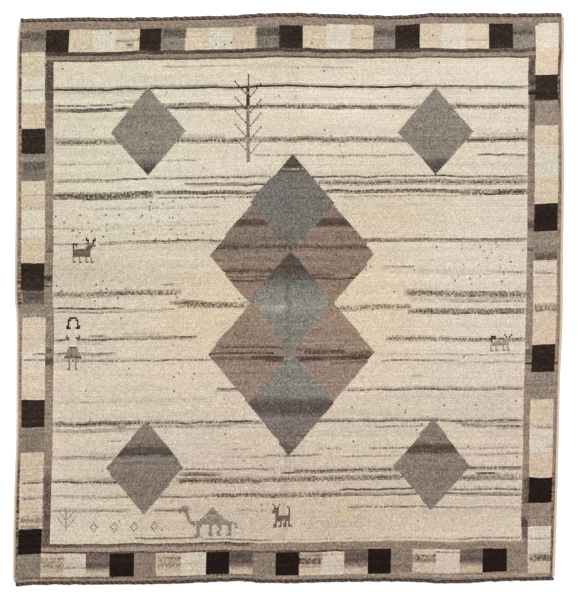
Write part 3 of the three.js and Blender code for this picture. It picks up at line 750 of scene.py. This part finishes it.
# Fine fibres: a mottled colour and a fuzzy surface, for every wool on the rug.
wool_fibre, given = open_group(
    "wool_fibre", "ShaderNodeTree",
    {"Wool": "NodeSocketColor", "Fibre Scale": "NodeSocketFloat", "Mottle": "NodeSocketFloat",
     "Fuzz Height": "NodeSocketFloat"},
    {"Colour": "NodeSocketColor", "Roughness": "NodeSocketFloat", "Normal": "NodeSocketVector"})
place = add_node(wool_fibre, "ShaderNodeTexCoord")
fibres = add_node(wool_fibre, "ShaderNodeTexNoise", {
    "Vector": place.outputs["Object"], "Scale": given.outputs["Fibre Scale"], "Detail": 3, "Roughness": 0.65})
fibres = fibres.outputs["Fac"]
swing = calculate(wool_fibre, "SUBTRACT", fibres, 0.5)
amount = calculate(wool_fibre, "MULTIPLY_ADD", swing, given.outputs["Mottle"], 1.0)
mottled = scaled(wool_fibre, given.outputs["Wool"], amount)
rough = add_node(wool_fibre, "ShaderNodeMapRange", {"Value": fibres, "To Min": 0.86, "To Max": 1.0})
height = calculate(wool_fibre, "MULTIPLY", fibres, given.outputs["Fuzz Height"])
fuzz = add_node(wool_fibre, "ShaderNodeBump", {"Height": height, "Strength": 0.7})
add_node(wool_fibre, "NodeGroupOutput", {"Colour": mottled, "Roughness": rough, "Normal": fuzz})


def wool_material(name, fibre_scale, mottle, fuzz_height, colour=None):
    """A wool that takes its colour from the chart on the mesh, or one colour all over."""
    material = bpy.data.materials.new(name)
    material.use_nodes = True
    tree = material.node_tree
    wool = (*colour, 1) if colour is not None else add_node(
        tree, "ShaderNodeAttribute", name="chart", attribute_name="wool").outputs["Color"]
    fibre = add_node(tree, "ShaderNodeGroup", node_tree=wool_fibre, name="fibre")
    feed(fibre, {"Wool": wool, "Fibre Scale": fibre_scale, "Mottle": mottle, "Fuzz Height": fuzz_height})
    feed(tree.nodes["Principled BSDF"], {
        "Specular IOR Level": 0.1, "Sheen Weight": 0.04, "Sheen Roughness": 0.6,
        "Base Color": fibre.outputs["Colour"], "Roughness": fibre.outputs["Roughness"],
        "Normal": fibre.outputs["Normal"]})
    return material


def ring(rows, columns):
    """The points round the rim of a grid of points, anticlockwise seen from above."""
    at = np.arange(rows * columns).reshape(rows, columns)
    return np.concatenate([at[0, :-1], at[:-1, -1], at[-1, :0:-1], at[:0:-1, 0]])


back_points = np.dstack([cloth_points(line_from_left, line_from_bottom), np.zeros(line_grid)]).reshape(-1, 3)
rim = ring(*line_grid)
upper_rim = back_points[rim] + (0, 0, FOUNDATION_THICKNESS)
foundation_points = np.vstack([back_points, upper_rim, upper_rim.mean(0, keepdims=True)])
at = np.arange(len(back_points)).reshape(line_grid)
upper_at = len(back_points) + np.arange(len(rim))
back_quads = np.stack([at[:-1, :-1], at[1:, :-1], at[1:, 1:], at[:-1, 1:]], -1)
side_quads = np.stack([rim, np.roll(rim, -1), np.roll(upper_at, -1), upper_at], -1)
top_fan = np.stack([upper_at, np.roll(upper_at, -1), np.full(len(rim), len(foundation_points) - 1)], -1)
foundation_corners = np.concatenate([back_quads.ravel(), side_quads.ravel(), top_fan.ravel()])
foundation_sides = np.repeat([4, 3], [ROWS * COLUMNS + len(rim), len(rim)])
foundation = fresh_mesh("foundation", foundation_points, foundation_corners, foundation_sides)
RIM_MAP_SHARE, SKIRT_MAP_SHARE = 0.03, 0.02
back_map = np.stack([line_columns / COLUMNS, line_rows / ROWS], -1).reshape(-1, 2)
back_map = RIM_MAP_SHARE + back_map * (1 - 2 * RIM_MAP_SHARE)
rim_map = back_map[rim]
outward = np.sign(rim_map - 0.5) * (abs(rim_map - 0.5) > 0.5 - RIM_MAP_SHARE - 1e-6) * SKIRT_MAP_SHARE
foundation_map = np.vstack([back_map, rim_map + outward, [[0.5, 0.5]]])
rim_row, rim_column = np.clip(rim // (COLUMNS + 1), 0, ROWS - 1), np.clip(rim % (COLUMNS + 1), 0, COLUMNS - 1)
rim_colours = knot_colours[rim_row, rim_column]
corner_colours = [np.repeat(knot_colours.reshape(-1, 3), 4, axis=0)]
corner_colours += [np.repeat(rim_colours, sides, axis=0) for sides in (4, 3)]
colour_and_map(foundation.data, np.vstack(corner_colours), foundation_map[foundation_corners])

# On the back, two beads to each knot, with the wefts between the rows. The wefts are dun wool darkened to
# 0.7: partly their own colour and partly painted shade in the grooves between the rows of beads.
knot_backs = wool_material("knot_backs", 700, 0.35, 0.0006)
tree = knot_backs.node_tree
turns_a_map = np.pi / (1 - 2 * RIM_MAP_SHARE) * np.array([2 * COLUMNS, ROWS, 0])
place = add_node(tree, "ShaderNodeUVMap", uv_map="OFBake")
count = calculate_places(tree, "MULTIPLY_ADD", place, turns_a_map, -RIM_MAP_SHARE * turns_a_map)
wave = calculate_places(tree, "ABSOLUTE", calculate_places(tree, "SINE", count))
rise = add_node(tree, "ShaderNodeSeparateXYZ", {0: wave}).outputs
bead = calculate(tree, "MULTIPLY", rise["X"], rise["Y"])
knot_shows = add_node(tree, "ShaderNodeMapRange", {"Value": rise["Y"], "From Min": 0.25, "From Max": 0.6})
weft_and_groove_shade = (*given_back(WOOLS["dun"]) * 0.7, 1)
back_colour = add_node(tree, "ShaderNodeMix", {
    0: knot_shows, 6: weft_and_groove_shade, 7: tree.nodes["chart"].outputs["Color"]}, data_type="RGBA")
feed(tree.nodes["fibre"], {"Wool": back_colour.outputs[2]})
bump = add_node(tree, "ShaderNodeBump", {
    "Strength": 0.8, "Distance": 0.0012, "Height": bead, "Normal": tree.nodes["fibre"].outputs["Normal"]})
feed(tree.nodes["Principled BSDF"], {"Normal": bump})
foundation.data.materials.append(knot_backs)
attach(foundation, "root")
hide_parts("pile_rug")


# The pile: each knot's two cut ends of woollen yarn stand up as one tuft and lean a little down the rug.
# All the tufts are one pile, made as two meshes that meet along the old fold, for their number's sake.
TUFT_RISE, GROOVE_DEPTH, TUFT_LEAN = 0.5 * MM, 0.8 * MM, 0.7 * MM
TUFT_UNEVEN, TUFT_STRAY, RIM_DROP, OVERHANG = 0.30 * MM, 0.40 * MM, 1.8 * MM, 2.3 * MM
tuft_rng = np.random.default_rng(77)
overhang = np.where(line_rows == 0, OVERHANG, 0)  # the lowest row leans out over the end cord
corner_places = cloth_points(line_from_left, line_from_bottom - overhang)
corner_heights = pile_top(line_from_left, line_from_bottom) - GROOVE_DEPTH
corner_heights += tuft_rng.normal(0, TUFT_UNEVEN / 2, line_grid)
inside_rim = (line_rows > 0) & (line_rows < ROWS) & (line_columns > 0) & (line_columns < COLUMNS)
corner_stray = tuft_rng.normal(0, TUFT_STRAY / 2, corner_places.shape)
corner_places = corner_places + corner_stray * inside_rim[..., None]
corner_heights = np.where(inside_rim, corner_heights, corner_heights - RIM_DROP)
lower, upper = corner_places[:-1], corner_places[1:]
middles = (lower[:, :-1] + upper[:, :-1] + upper[:, 1:] + lower[:, 1:]) / 4
middles = middles + tuft_rng.normal(0, TUFT_STRAY, middles.shape) + (0, -TUFT_LEAN)
middle_left = SELVEDGE_WIDTH + GAP + column_at * knot_width
middle_bottom = END_CORD_WIDTH + GAP + row_at * knot_height
middle_heights = pile_top(middle_left, middle_bottom) + TUFT_RISE
middle_heights += tuft_rng.normal(0, TUFT_UNEVEN, middle_heights.shape)
outer_knots = (row_at < 1) | (row_at > ROWS - 1) | (column_at < 1) | (column_at > COLUMNS - 1)
middle_heights = np.where(outer_knots, middle_heights - RIM_DROP / 3, middle_heights)
TIP_HIGHLIGHT_GAIN, FOOT_GAIN, SHADED_FOOT_GAIN = 1.11, 0.99, 0.85  # painted light on each tuft: the tip painted lighter, and the lower feet painted darker as the next row's shadow
FLANK_SHADE_GAINS = (0.95, 1.03, 0.99, 1.03)  # painted shade of the near, right, far and left flank: the rows show as fine ribs
# The skirt, the pile's side wall down to the foundation, is its own wool painted darker: painted shade.
SKIRT_SHADE_GAIN = 0.8
FOOT_GRAIN, TIP_GRAIN, FLANK_GRAIN, STREAK_GRAIN, HEATHER = 0.045, 0.035, 0.085, 0.045, 1.5
heather = (1 + HEATHER * darkness)[..., None]
streaks = [STREAK_GRAIN * soft_noise(seed, ROWS, COLUMNS, 0.5, 2.5) for seed in (51, 51, 52, 52)]
foot_grain = tuft_rng.normal(0, FOOT_GRAIN, (ROWS, COLUMNS, 4)) + np.stack(streaks, -1)
foot_gain = np.array([SHADED_FOOT_GAIN, SHADED_FOOT_GAIN, FOOT_GAIN, FOOT_GAIN]) + foot_grain * heather
tip_gain = TIP_HIGHLIGHT_GAIN + tuft_rng.normal(0, TIP_GRAIN, (ROWS, COLUMNS, 1)) * heather
flank_gain = np.stack([foot_gain, np.roll(foot_gain, -1, axis=2), np.repeat(tip_gain, 4, axis=2)], axis=3)
flank_grain = tuft_rng.normal(0, FLANK_GRAIN, (ROWS, COLUMNS, 4)) * heather
flank_gain *= (np.array(FLANK_SHADE_GAINS) + flank_grain)[..., None]
tuft_colours = np.clip(knot_colours[:, :, None, None, :] * flank_gain[..., None], 0.004, 1)
pile_wool = wool_material("pile_wool", 620, 1.1, 0.0012)
PILE_MAP_RIM, PILE_MAP_SKIRT = 0.015, 0.012


def pile_half(name, first, last):
    """The tufts from one column of knots up to another, with a skirt down to the foundation."""
    width, lines, tufts = last - first, slice(first, last + 1), slice(first, last)
    corners = np.dstack([corner_places[:, lines], corner_heights[:, lines]]).reshape(-1, 3)
    tips = np.dstack([middles[:, tufts], middle_heights[:, tufts]]).reshape(-1, 3)
    at = np.arange(len(corners)).reshape(ROWS + 1, width + 1)
    tip_at = at.size + np.arange(len(tips)).reshape(ROWS, width)
    round_knot = (at[:-1, :-1], at[:-1, 1:], at[1:, 1:], at[1:, :-1])
    flanks = [np.stack([round_knot[k], round_knot[(k + 1) % 4], tip_at], -1) for k in range(4)]
    faces = np.stack(flanks, 2)
    rim_at = ring(ROWS + 1, width + 1)
    on_fold = rim_at % (width + 1) == (width if first == 0 else 0)
    outside = ~(on_fold & np.roll(on_fold, -1))
    foot = corners[rim_at] * (1, 1, 0) + (0, 0, FOUNDATION_THICKNESS)
    foot_at = at.size + tip_at.size + np.arange(len(rim_at))
    skirt = np.stack([foot_at, np.roll(foot_at, -1), np.roll(rim_at, -1), rim_at], -1)[outside]
    loops = np.concatenate([faces.ravel(), skirt.ravel()])
    sides = np.repeat([3, 4], [faces.size // 3, len(skirt)])
    made = fresh_mesh(name, np.vstack([corners, tips, foot]), loops, sides)
    across, up = np.linspace(0, 1, width + 1), np.linspace(0, 1, ROWS + 1)
    share = np.stack(np.meshgrid(across, up), -1).reshape(-1, 2)
    tip_share = np.stack([column_at[:, :width] / width, row_at[:, :width] / ROWS], -1).reshape(-1, 2)
    outward = np.sign(share[rim_at] - 0.5) * (abs(share[rim_at] - 0.5) > 0.4999) * PILE_MAP_SKIRT
    whole = np.vstack([share, tip_share, share[rim_at] + outward])
    skirt_rows = np.clip(rim_at[outside] // (width + 1), 0, ROWS - 1)
    skirt_columns = first + np.clip(rim_at[outside] % (width + 1), 0, width - 1)
    skirt_colours = np.repeat(knot_colours[skirt_rows, skirt_columns], 4, axis=0) * SKIRT_SHADE_GAIN
    colours = np.vstack([tuft_colours[:, tufts].reshape(-1, 3), skirt_colours])
    colour_and_map(made.data, colours, (PILE_MAP_RIM + whole * (1 - 2 * PILE_MAP_RIM))[loops])
    made.data.polygons.foreach_set("use_smooth", np.ones(len(made.data.polygons), bool))
    made.data.materials.append(pile_wool)
    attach(made, "root")
    return made


pile_left = pile_half("pile_left", 0, COLUMNS // 2)
pile_right = pile_half("pile_right", COLUMNS // 2, COLUMNS)


# The selvedges: a thick cord of warps at each side, overcast from end to end with pale handspun wool, one
# wrap beside the next, a little slanted. They are wrapped on after the weaving.
SELVEDGE_HEIGHT, SELVEDGE_LIFT, WRAP_PITCH, WRAP_YARN = 8 * MM, 0.6 * MM, 2.9 * MM, 1.5 * MM
SELVEDGE_WOOL = (229, 213, 197)
SELVEDGE_HAIRS, SELVEDGE_HAIR_LENGTH = 26000, 3 * MM  # hairs to a square metre of yarn
HAIR_RADIUS = 0.22 * MM

# Short fibres stand out of the upper side of a yarn, as many as asked for.
loose_hairs, given = open_group(
    "loose_hairs", "GeometryNodeTree",
    {"Yarn": "NodeSocketGeometry", "Density": "NodeSocketFloat", "Length": "NodeSocketFloat"},
    {"Hairs": "NodeSocketGeometry"})
facing = add_node(loose_hairs, "GeometryNodeInputNormal")
slope = add_node(loose_hairs, "ShaderNodeSeparateXYZ", {0: facing})
upward = add_node(loose_hairs, "FunctionNodeCompare", {"A": slope.outputs["Z"]})
roots = add_node(loose_hairs, "GeometryNodeDistributePointsOnFaces", {
    "Mesh": given.outputs["Yarn"], "Selection": upward, "Density": given.outputs["Density"], "Seed": 3})
hair = add_node(loose_hairs, "GeometryNodeMeshCone", {
    "Vertices": 3, "Radius Bottom": HAIR_RADIUS, "Depth": given.outputs["Length"]}, fill_type="NONE")
stray = add_node(loose_hairs, "FunctionNodeRandomValue", {
    "Min": (-1.1, -1.1, -1.0), "Max": (1.1, 1.1, 1.0), "Seed": 4}, data_type="FLOAT_VECTOR")
bent = add_node(loose_hairs, "FunctionNodeRotateRotation", {0: roots.outputs["Rotation"], 1: stray},
                rotation_space="LOCAL")
spread = add_node(loose_hairs, "GeometryNodeInstanceOnPoints", {
    "Points": roots.outputs["Points"], "Instance": hair.outputs["Mesh"], "Rotation": bent})
add_node(loose_hairs, "NodeGroupOutput", {"Hairs": spread})


def line_object(name, points):
    """An open line of points, for wraps and twists to follow."""
    mesh = bpy.data.meshes.new(name)
    mesh.from_pydata([tuple(point) for point in points], [(k, k + 1) for k in range(len(points) - 1)], [])
    return stand_in_scene(name, mesh)


def baked_nodes(made, tree, **sizes):
    """Runs a node tree on an object and keeps its result as a plain mesh."""
    identifiers = {item.name: item.identifier for item in tree.interface.items_tree if item.in_out == "INPUT"}
    modifier = made.modifiers.new("made_by_rule", "NODES")
    modifier.node_group = tree
    for name, value in sizes.items():
        modifier[identifiers[name.replace("_", " ").title()]] = value
    bpy.context.view_layer.update()
    seen = made.evaluated_get(bpy.context.evaluated_depsgraph_get())
    mesh = bpy.data.meshes.new_from_object(seen)
    made.modifiers.remove(modifier)
    made.data = mesh
    return made


def yarn_group(name, sizes, result):
    """A tree that works yarn along a line, with these sizes as its inputs."""
    takes = {"Line": "NodeSocketGeometry"} | dict.fromkeys(sizes, "NodeSocketFloat")
    return open_group(name, "GeometryNodeTree", takes, {result: "NodeSocketGeometry"})


def hairs_on(tree, yarn, given):
    """The loose hairs of a yarn, as many and as long as the tree's inputs say."""
    return add_node(tree, "GeometryNodeGroup", {
        "Yarn": yarn, "Density": given.outputs["Hair Density"], "Length": given.outputs["Hair Length"],
    }, node_tree=loose_hairs)


def dress(tree, whole, material, result):
    """The last steps of a tree: smooth faces, a material and the way out."""
    smooth = add_node(tree, "GeometryNodeSetShadeSmooth", {"Geometry": whole})
    dressed = add_node(tree, "GeometryNodeSetMaterial", {"Geometry": smooth, "Material": material})
    add_node(tree, "NodeGroupOutput", {result: dressed})


def circle(tree, resolution, radius):
    """A ring of this many points."""
    return add_node(tree, "GeometryNodeCurvePrimitiveCircle", {"Resolution": resolution, "Radius": radius})


def wrap_tree(material):
    """Wraps of yarn, one at each step of a line, each a squashed ring round it."""
    sizes = ("Pitch", "Width", "Height", "Yarn", "Hair Density", "Hair Length")
    tree, given = yarn_group("overcast_wraps", sizes, "Wraps")
    curve = add_node(tree, "GeometryNodeMeshToCurve", {"Mesh": given.outputs["Line"]})
    stops = add_node(tree, "GeometryNodeCurveToPoints", {"Curve": curve, "Length": given.outputs["Pitch"]},
                     mode="LENGTH")
    across, upright = (calculate(tree, "MULTIPLY", given.outputs[size], 0.5) for size in ("Width", "Height"))
    squash = add_node(tree, "ShaderNodeCombineXYZ", {"X": across, "Y": upright, "Z": 1.0})
    oval = add_node(tree, "GeometryNodeTransform", {"Geometry": circle(tree, 12, 1.0), "Scale": squash})
    yarn = circle(tree, 5, given.outputs["Yarn"])
    wrap = add_node(tree, "GeometryNodeCurveToMesh", {"Curve": oval, "Profile Curve": yarn})
    slant, plump = (add_node(tree, "FunctionNodeRandomValue", data_type="FLOAT_VECTOR") for _ in range(2))
    feed(slant, {"Min": (-0.05, 0.02, -0.03), "Max": (0.05, 0.22, 0.03), "Seed": 5})
    feed(plump, {"Min": (0.92, 0.90, 0.9), "Max": (1.06, 1.08, 1.15), "Seed": 8})
    turned = add_node(tree, "FunctionNodeRotateRotation", {0: stops.outputs["Rotation"], 1: slant},
                      rotation_space="LOCAL")
    spread = add_node(tree, "GeometryNodeInstanceOnPoints", {
        "Points": stops.outputs["Points"], "Instance": wrap, "Rotation": turned, "Scale": plump})
    wraps = add_node(tree, "GeometryNodeRealizeInstances", {0: spread})
    laid_hairs = add_node(tree, "GeometryNodeRealizeInstances", {0: hairs_on(tree, wraps, given)})
    hairy = add_node(tree, "GeometryNodeJoinGeometry", {0: [wraps, laid_hairs]})
    dress(tree, hairy, material, "Wraps")
    return tree


Side = namedtuple("Side", "name from_left width tuck_low tuck_high climb")
SIDES = [  # the left one is wider, tucks in at its ends and climbs over the top end cord
    Side("left", SELVEDGE_WIDTH / 2 - 1.5 * MM, SELVEDGE_WIDTH + 1.2 * MM, 6 * MM, 2.6 * MM, 4.5 * MM),
    Side("right", RUG_WIDTH - SELVEDGE_WIDTH / 2, SELVEDGE_WIDTH, -2 * MM, 0, 0),
]
LOW_TUCK_REACH, HIGH_TUCK_REACH = 36 * MM, 70 * MM
LINE_POINTS = 240
selvedge_wool = wool_material("selvedge_wool", 1100, 0.5, 0.0008, given_back(np.array(SELVEDGE_WOOL) / 255))
overcasting = wrap_tree(selvedge_wool)
for side in SIDES:
    end_room = END_CORD_WIDTH + GAP + WRAP_YARN
    along = np.linspace(end_room, RUG_LENGTH - end_room + side.climb, LINE_POINTS)
    tuck = side.tuck_low * np.clip(1 - along / LOW_TUCK_REACH, 0, 1) ** 2
    tuck = tuck + side.tuck_high * np.clip((along - RUG_LENGTH) / HIGH_TUCK_REACH + 1, 0, 1) ** 2
    places = cloth_points(side.from_left + tuck, along)
    path = np.column_stack([places, np.full_like(along, SELVEDGE_HEIGHT / 2 + SELVEDGE_LIFT)])
    wraps = baked_nodes(
        line_object("selvedge_" + side.name + "_wraps", path), overcasting, pitch=WRAP_PITCH,
        width=side.width - 2 * WRAP_YARN, height=SELVEDGE_HEIGHT - 2 * WRAP_YARN, yarn=WRAP_YARN,
        hair_density=SELVEDGE_HAIRS, hair_length=SELVEDGE_HAIR_LENGTH)
    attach(wraps, "root")
    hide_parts("selvedge_" + side.name)


# The end cords: the warp ends are bound off with dark brown wool, twined across the rug in a thick
# two-strand twist, lumpy where the yarn was spliced and hairy all over. One strand is darker.
TWIST_PITCH, TWIST_STEP = 15 * MM, 1.9 * MM
CordSize = namedtuple("CordSize", "end browns strand throw binding middle from_end from_left from_right")
CORD_SIZES = [
    CordSize("bottom", ((66, 52, 44), (108, 90, 78)),
             2.8 * MM, 1.7 * MM, 4.3 * MM, 6 * MM, 4.4 * MM, 9 * MM, 5 * MM),
    CordSize("top", ((88, 74, 65), (128, 111, 99)),
             3.4 * MM, 2.3 * MM, 5.5 * MM, 6.2 * MM, 5.7 * MM, 6 * MM, 7 * MM),
]
CORD_BUMP = 0.7 * MM
HAIR_LENGTH, HAIRS_A_METRE = 4 * MM, 2600


def wound_strand(tree, number, line, turns, girth, given):
    """One strand of a twist: a tube of yarn that winds round a line, marked with its number."""
    angle = calculate(tree, "MULTIPLY_ADD", turns, 2 * np.pi, number * np.pi)
    away = add_node(tree, "ShaderNodeCombineXYZ", {
        "Y": calculate(tree, "COSINE", angle), "Z": calculate(tree, "SINE", angle)})
    throw = scaled(tree, away, given.outputs["Throw"])
    lowered = calculate_places(tree, "MULTIPLY", throw, (1, 1, 0.6))
    wound = add_node(tree, "GeometryNodeSetPosition", {"Geometry": line, "Offset": lowered})
    section = circle(tree, 7, given.outputs["Strand"])
    tube = add_node(tree, "GeometryNodeCurveToMesh", {
        "Curve": wound, "Profile Curve": section, "Scale": girth, "Fill Caps": True})
    return add_node(tree, "GeometryNodeStoreNamedAttribute", {
        "Geometry": tube, "Name": "strand", "Value": float(number)})


def twist_tree(material):
    """Strands that wind round a line, each a tube of yarn that swells and thins."""
    sizes = ("Pitch", "Throw", "Strand", "Step", "Binding", "Hair Density", "Hair Length")
    tree, given = yarn_group("twined_strands", sizes, "Strands")
    curve = add_node(tree, "GeometryNodeMeshToCurve", {"Mesh": given.outputs["Line"]})
    stepped = add_node(tree, "GeometryNodeResampleCurve", {"Curve": curve, "Length": given.outputs["Step"]},
                       mode="LENGTH")
    run = add_node(tree, "GeometryNodeSplineParameter").outputs["Length"]
    turns = calculate(tree, "DIVIDE", run, given.outputs["Pitch"])
    loose, uneven = (
        add_node(tree, "ShaderNodeTexNoise", {"Scale": scale, "W": run}, noise_dimensions="1D")
        for scale in (22.0, 45.0))
    loosened = calculate(tree, "MULTIPLY_ADD", loose.outputs["Fac"], 1.6, turns)
    girth = add_node(tree, "ShaderNodeMapRange", {
        "Value": uneven.outputs["Fac"], "From Min": 0.25, "From Max": 0.75, "To Min": 0.68, "To Max": 1.3})
    strands = [wound_strand(tree, number, stepped, loosened, girth, given) for number in range(2)]
    joined = add_node(tree, "GeometryNodeJoinGeometry", {0: strands})
    lumps = add_node(tree, "ShaderNodeTexNoise", {"Scale": 190.0}).outputs["Color"]
    centred = calculate_places(tree, "SUBTRACT", lumps, (0.5, 0.5, 0.5))
    lumpy = add_node(tree, "GeometryNodeSetPosition", {
        "Geometry": joined, "Offset": scaled(tree, centred, given.outputs["Strand"])})
    hairs = hairs_on(tree, lumpy, given)
    binding = add_node(tree, "GeometryNodeCurveToMesh", {
        "Curve": stepped, "Profile Curve": circle(tree, 8, given.outputs["Binding"]), "Fill Caps": True})
    flattened = add_node(tree, "GeometryNodeTransform", {"Geometry": binding, "Scale": (1, 1, 0.45)})
    everything = add_node(tree, "GeometryNodeJoinGeometry", {0: [lumpy, hairs, flattened]})
    whole = add_node(tree, "GeometryNodeRealizeInstances", {0: everything})
    dress(tree, whole, material, "Strands")
    return tree


def cord_material(name, browns):
    """Wool of two browns, one for each strand."""
    material = wool_material(name, 500, 1.7, 0.0015, (0, 0, 0))
    tree = material.node_tree
    darker, paler = ((*given_back(np.array(brown) / 255), 1) for brown in browns)
    number = add_node(tree, "ShaderNodeAttribute", attribute_name="strand").outputs["Fac"]
    two_browns = add_node(tree, "ShaderNodeMix", {0: number, 6: darker, 7: paler}, data_type="RGBA")
    feed(tree.nodes["fibre"], {"Wool": two_browns.outputs[2]})
    return material


cord_rng = np.random.default_rng(5)
for size in CORD_SIZES:
    end_cord_wool = cord_material("end_cord_wool_" + size.end, size.browns)
    across = np.linspace(size.from_left, RUG_WIDTH - size.from_right, LINE_POINTS)
    from_bottom = size.from_end if size.end == "bottom" else RUG_LENGTH - size.from_end
    bumps = np.interp(across, across[::2], cord_rng.normal(0, CORD_BUMP, LINE_POINTS // 2))
    places = cloth_points(across, from_bottom + bumps)
    path = np.column_stack([places, np.full_like(across, size.middle)])
    strands = baked_nodes(
        line_object("end_cord_" + size.end + "_strands", path), twist_tree(end_cord_wool),
        pitch=TWIST_PITCH, throw=size.throw, strand=size.strand, step=TWIST_STEP, binding=size.binding,
        hair_density=HAIRS_A_METRE / (4 * np.pi * size.strand), hair_length=HAIR_LENGTH)
    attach(strands, "root")
    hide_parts("end_cord_" + size.end)


# The plain pale floor that the rug lies on, under an even studio light from above. The floor is lit more
# strongly than the rug, as a white studio ground is.
FLOOR_HALF, FLOOR_BELOW, FLOOR_GLOW = 30.0, 0.2 * MM, 0.5
floor_mesh = bpy.data.meshes.new("studio_floor")
floor_signs = [(-1, -1), (1, -1), (1, 1), (-1, 1)]
floor_corners = [(x * FLOOR_HALF, y * FLOOR_HALF, -FLOOR_BELOW) for x, y in floor_signs]
floor_mesh.from_pydata(floor_corners, [], [(0, 1, 2, 3)])
floor_paint = bpy.data.materials.new("floor_paint")
floor_paint.use_nodes = True
feed(floor_paint.node_tree.nodes["Principled BSDF"], {
    "Base Color": (*[FLOOR_ALBEDO] * 3, 1), "Roughness": 0.9, "Specular IOR Level": 0.1,
    "Emission Color": (1, 1, 1, 1), "Emission Strength": FLOOR_GLOW})
floor_mesh.materials.append(floor_paint)
studio_floor = stand_in_scene("studio_floor", floor_mesh)

SKY_STRENGTH, LAMP_STRENGTH, LAMP_SOFTNESS, LAMP_FROM = 0.62, 2.0, 0.6, (-0.45, 0.65, 1.0)
sky = bpy.data.worlds.new("studio_sky")
sky.use_nodes = True
feed(sky.node_tree.nodes["Background"], {"Color": (1, 1, 1, 1), "Strength": SKY_STRENGTH})
bpy.context.scene.world = sky
lamp_data = bpy.data.lights.new("soft_lamp", "SUN")
lamp_data.energy = LAMP_STRENGTH
lamp_data.angle = LAMP_SOFTNESS
lamp = stand_in_scene("soft_lamp", lamp_data)
lamp.rotation_euler = Vector(LAMP_FROM).to_track_quat("Z", "Y").to_euler()

# The camera hangs straight above the rug, far enough up for its sides to stay parallel.
PICTURE_WIDTH, SIZE_OF_PIXEL, CAMERA_HEIGHT = 577, 2.737 * MM, 8.0
camera_data = bpy.data.cameras.new("overhead_camera")
camera_data.sensor_fit = "HORIZONTAL"
camera_data.sensor_width = 36.0
seen_width = PICTURE_WIDTH * SIZE_OF_PIXEL
camera_data.lens = camera_data.sensor_width * (CAMERA_HEIGHT - PILE_THICKNESS) / seen_width
camera_data.clip_end = 100
camera = stand_in_scene("overhead_camera", camera_data)
camera.location = (0, 0, CAMERA_HEIGHT)
bpy.context.scene.camera = camera
bpy.context.scene.view_settings.view_transform = "Standard"
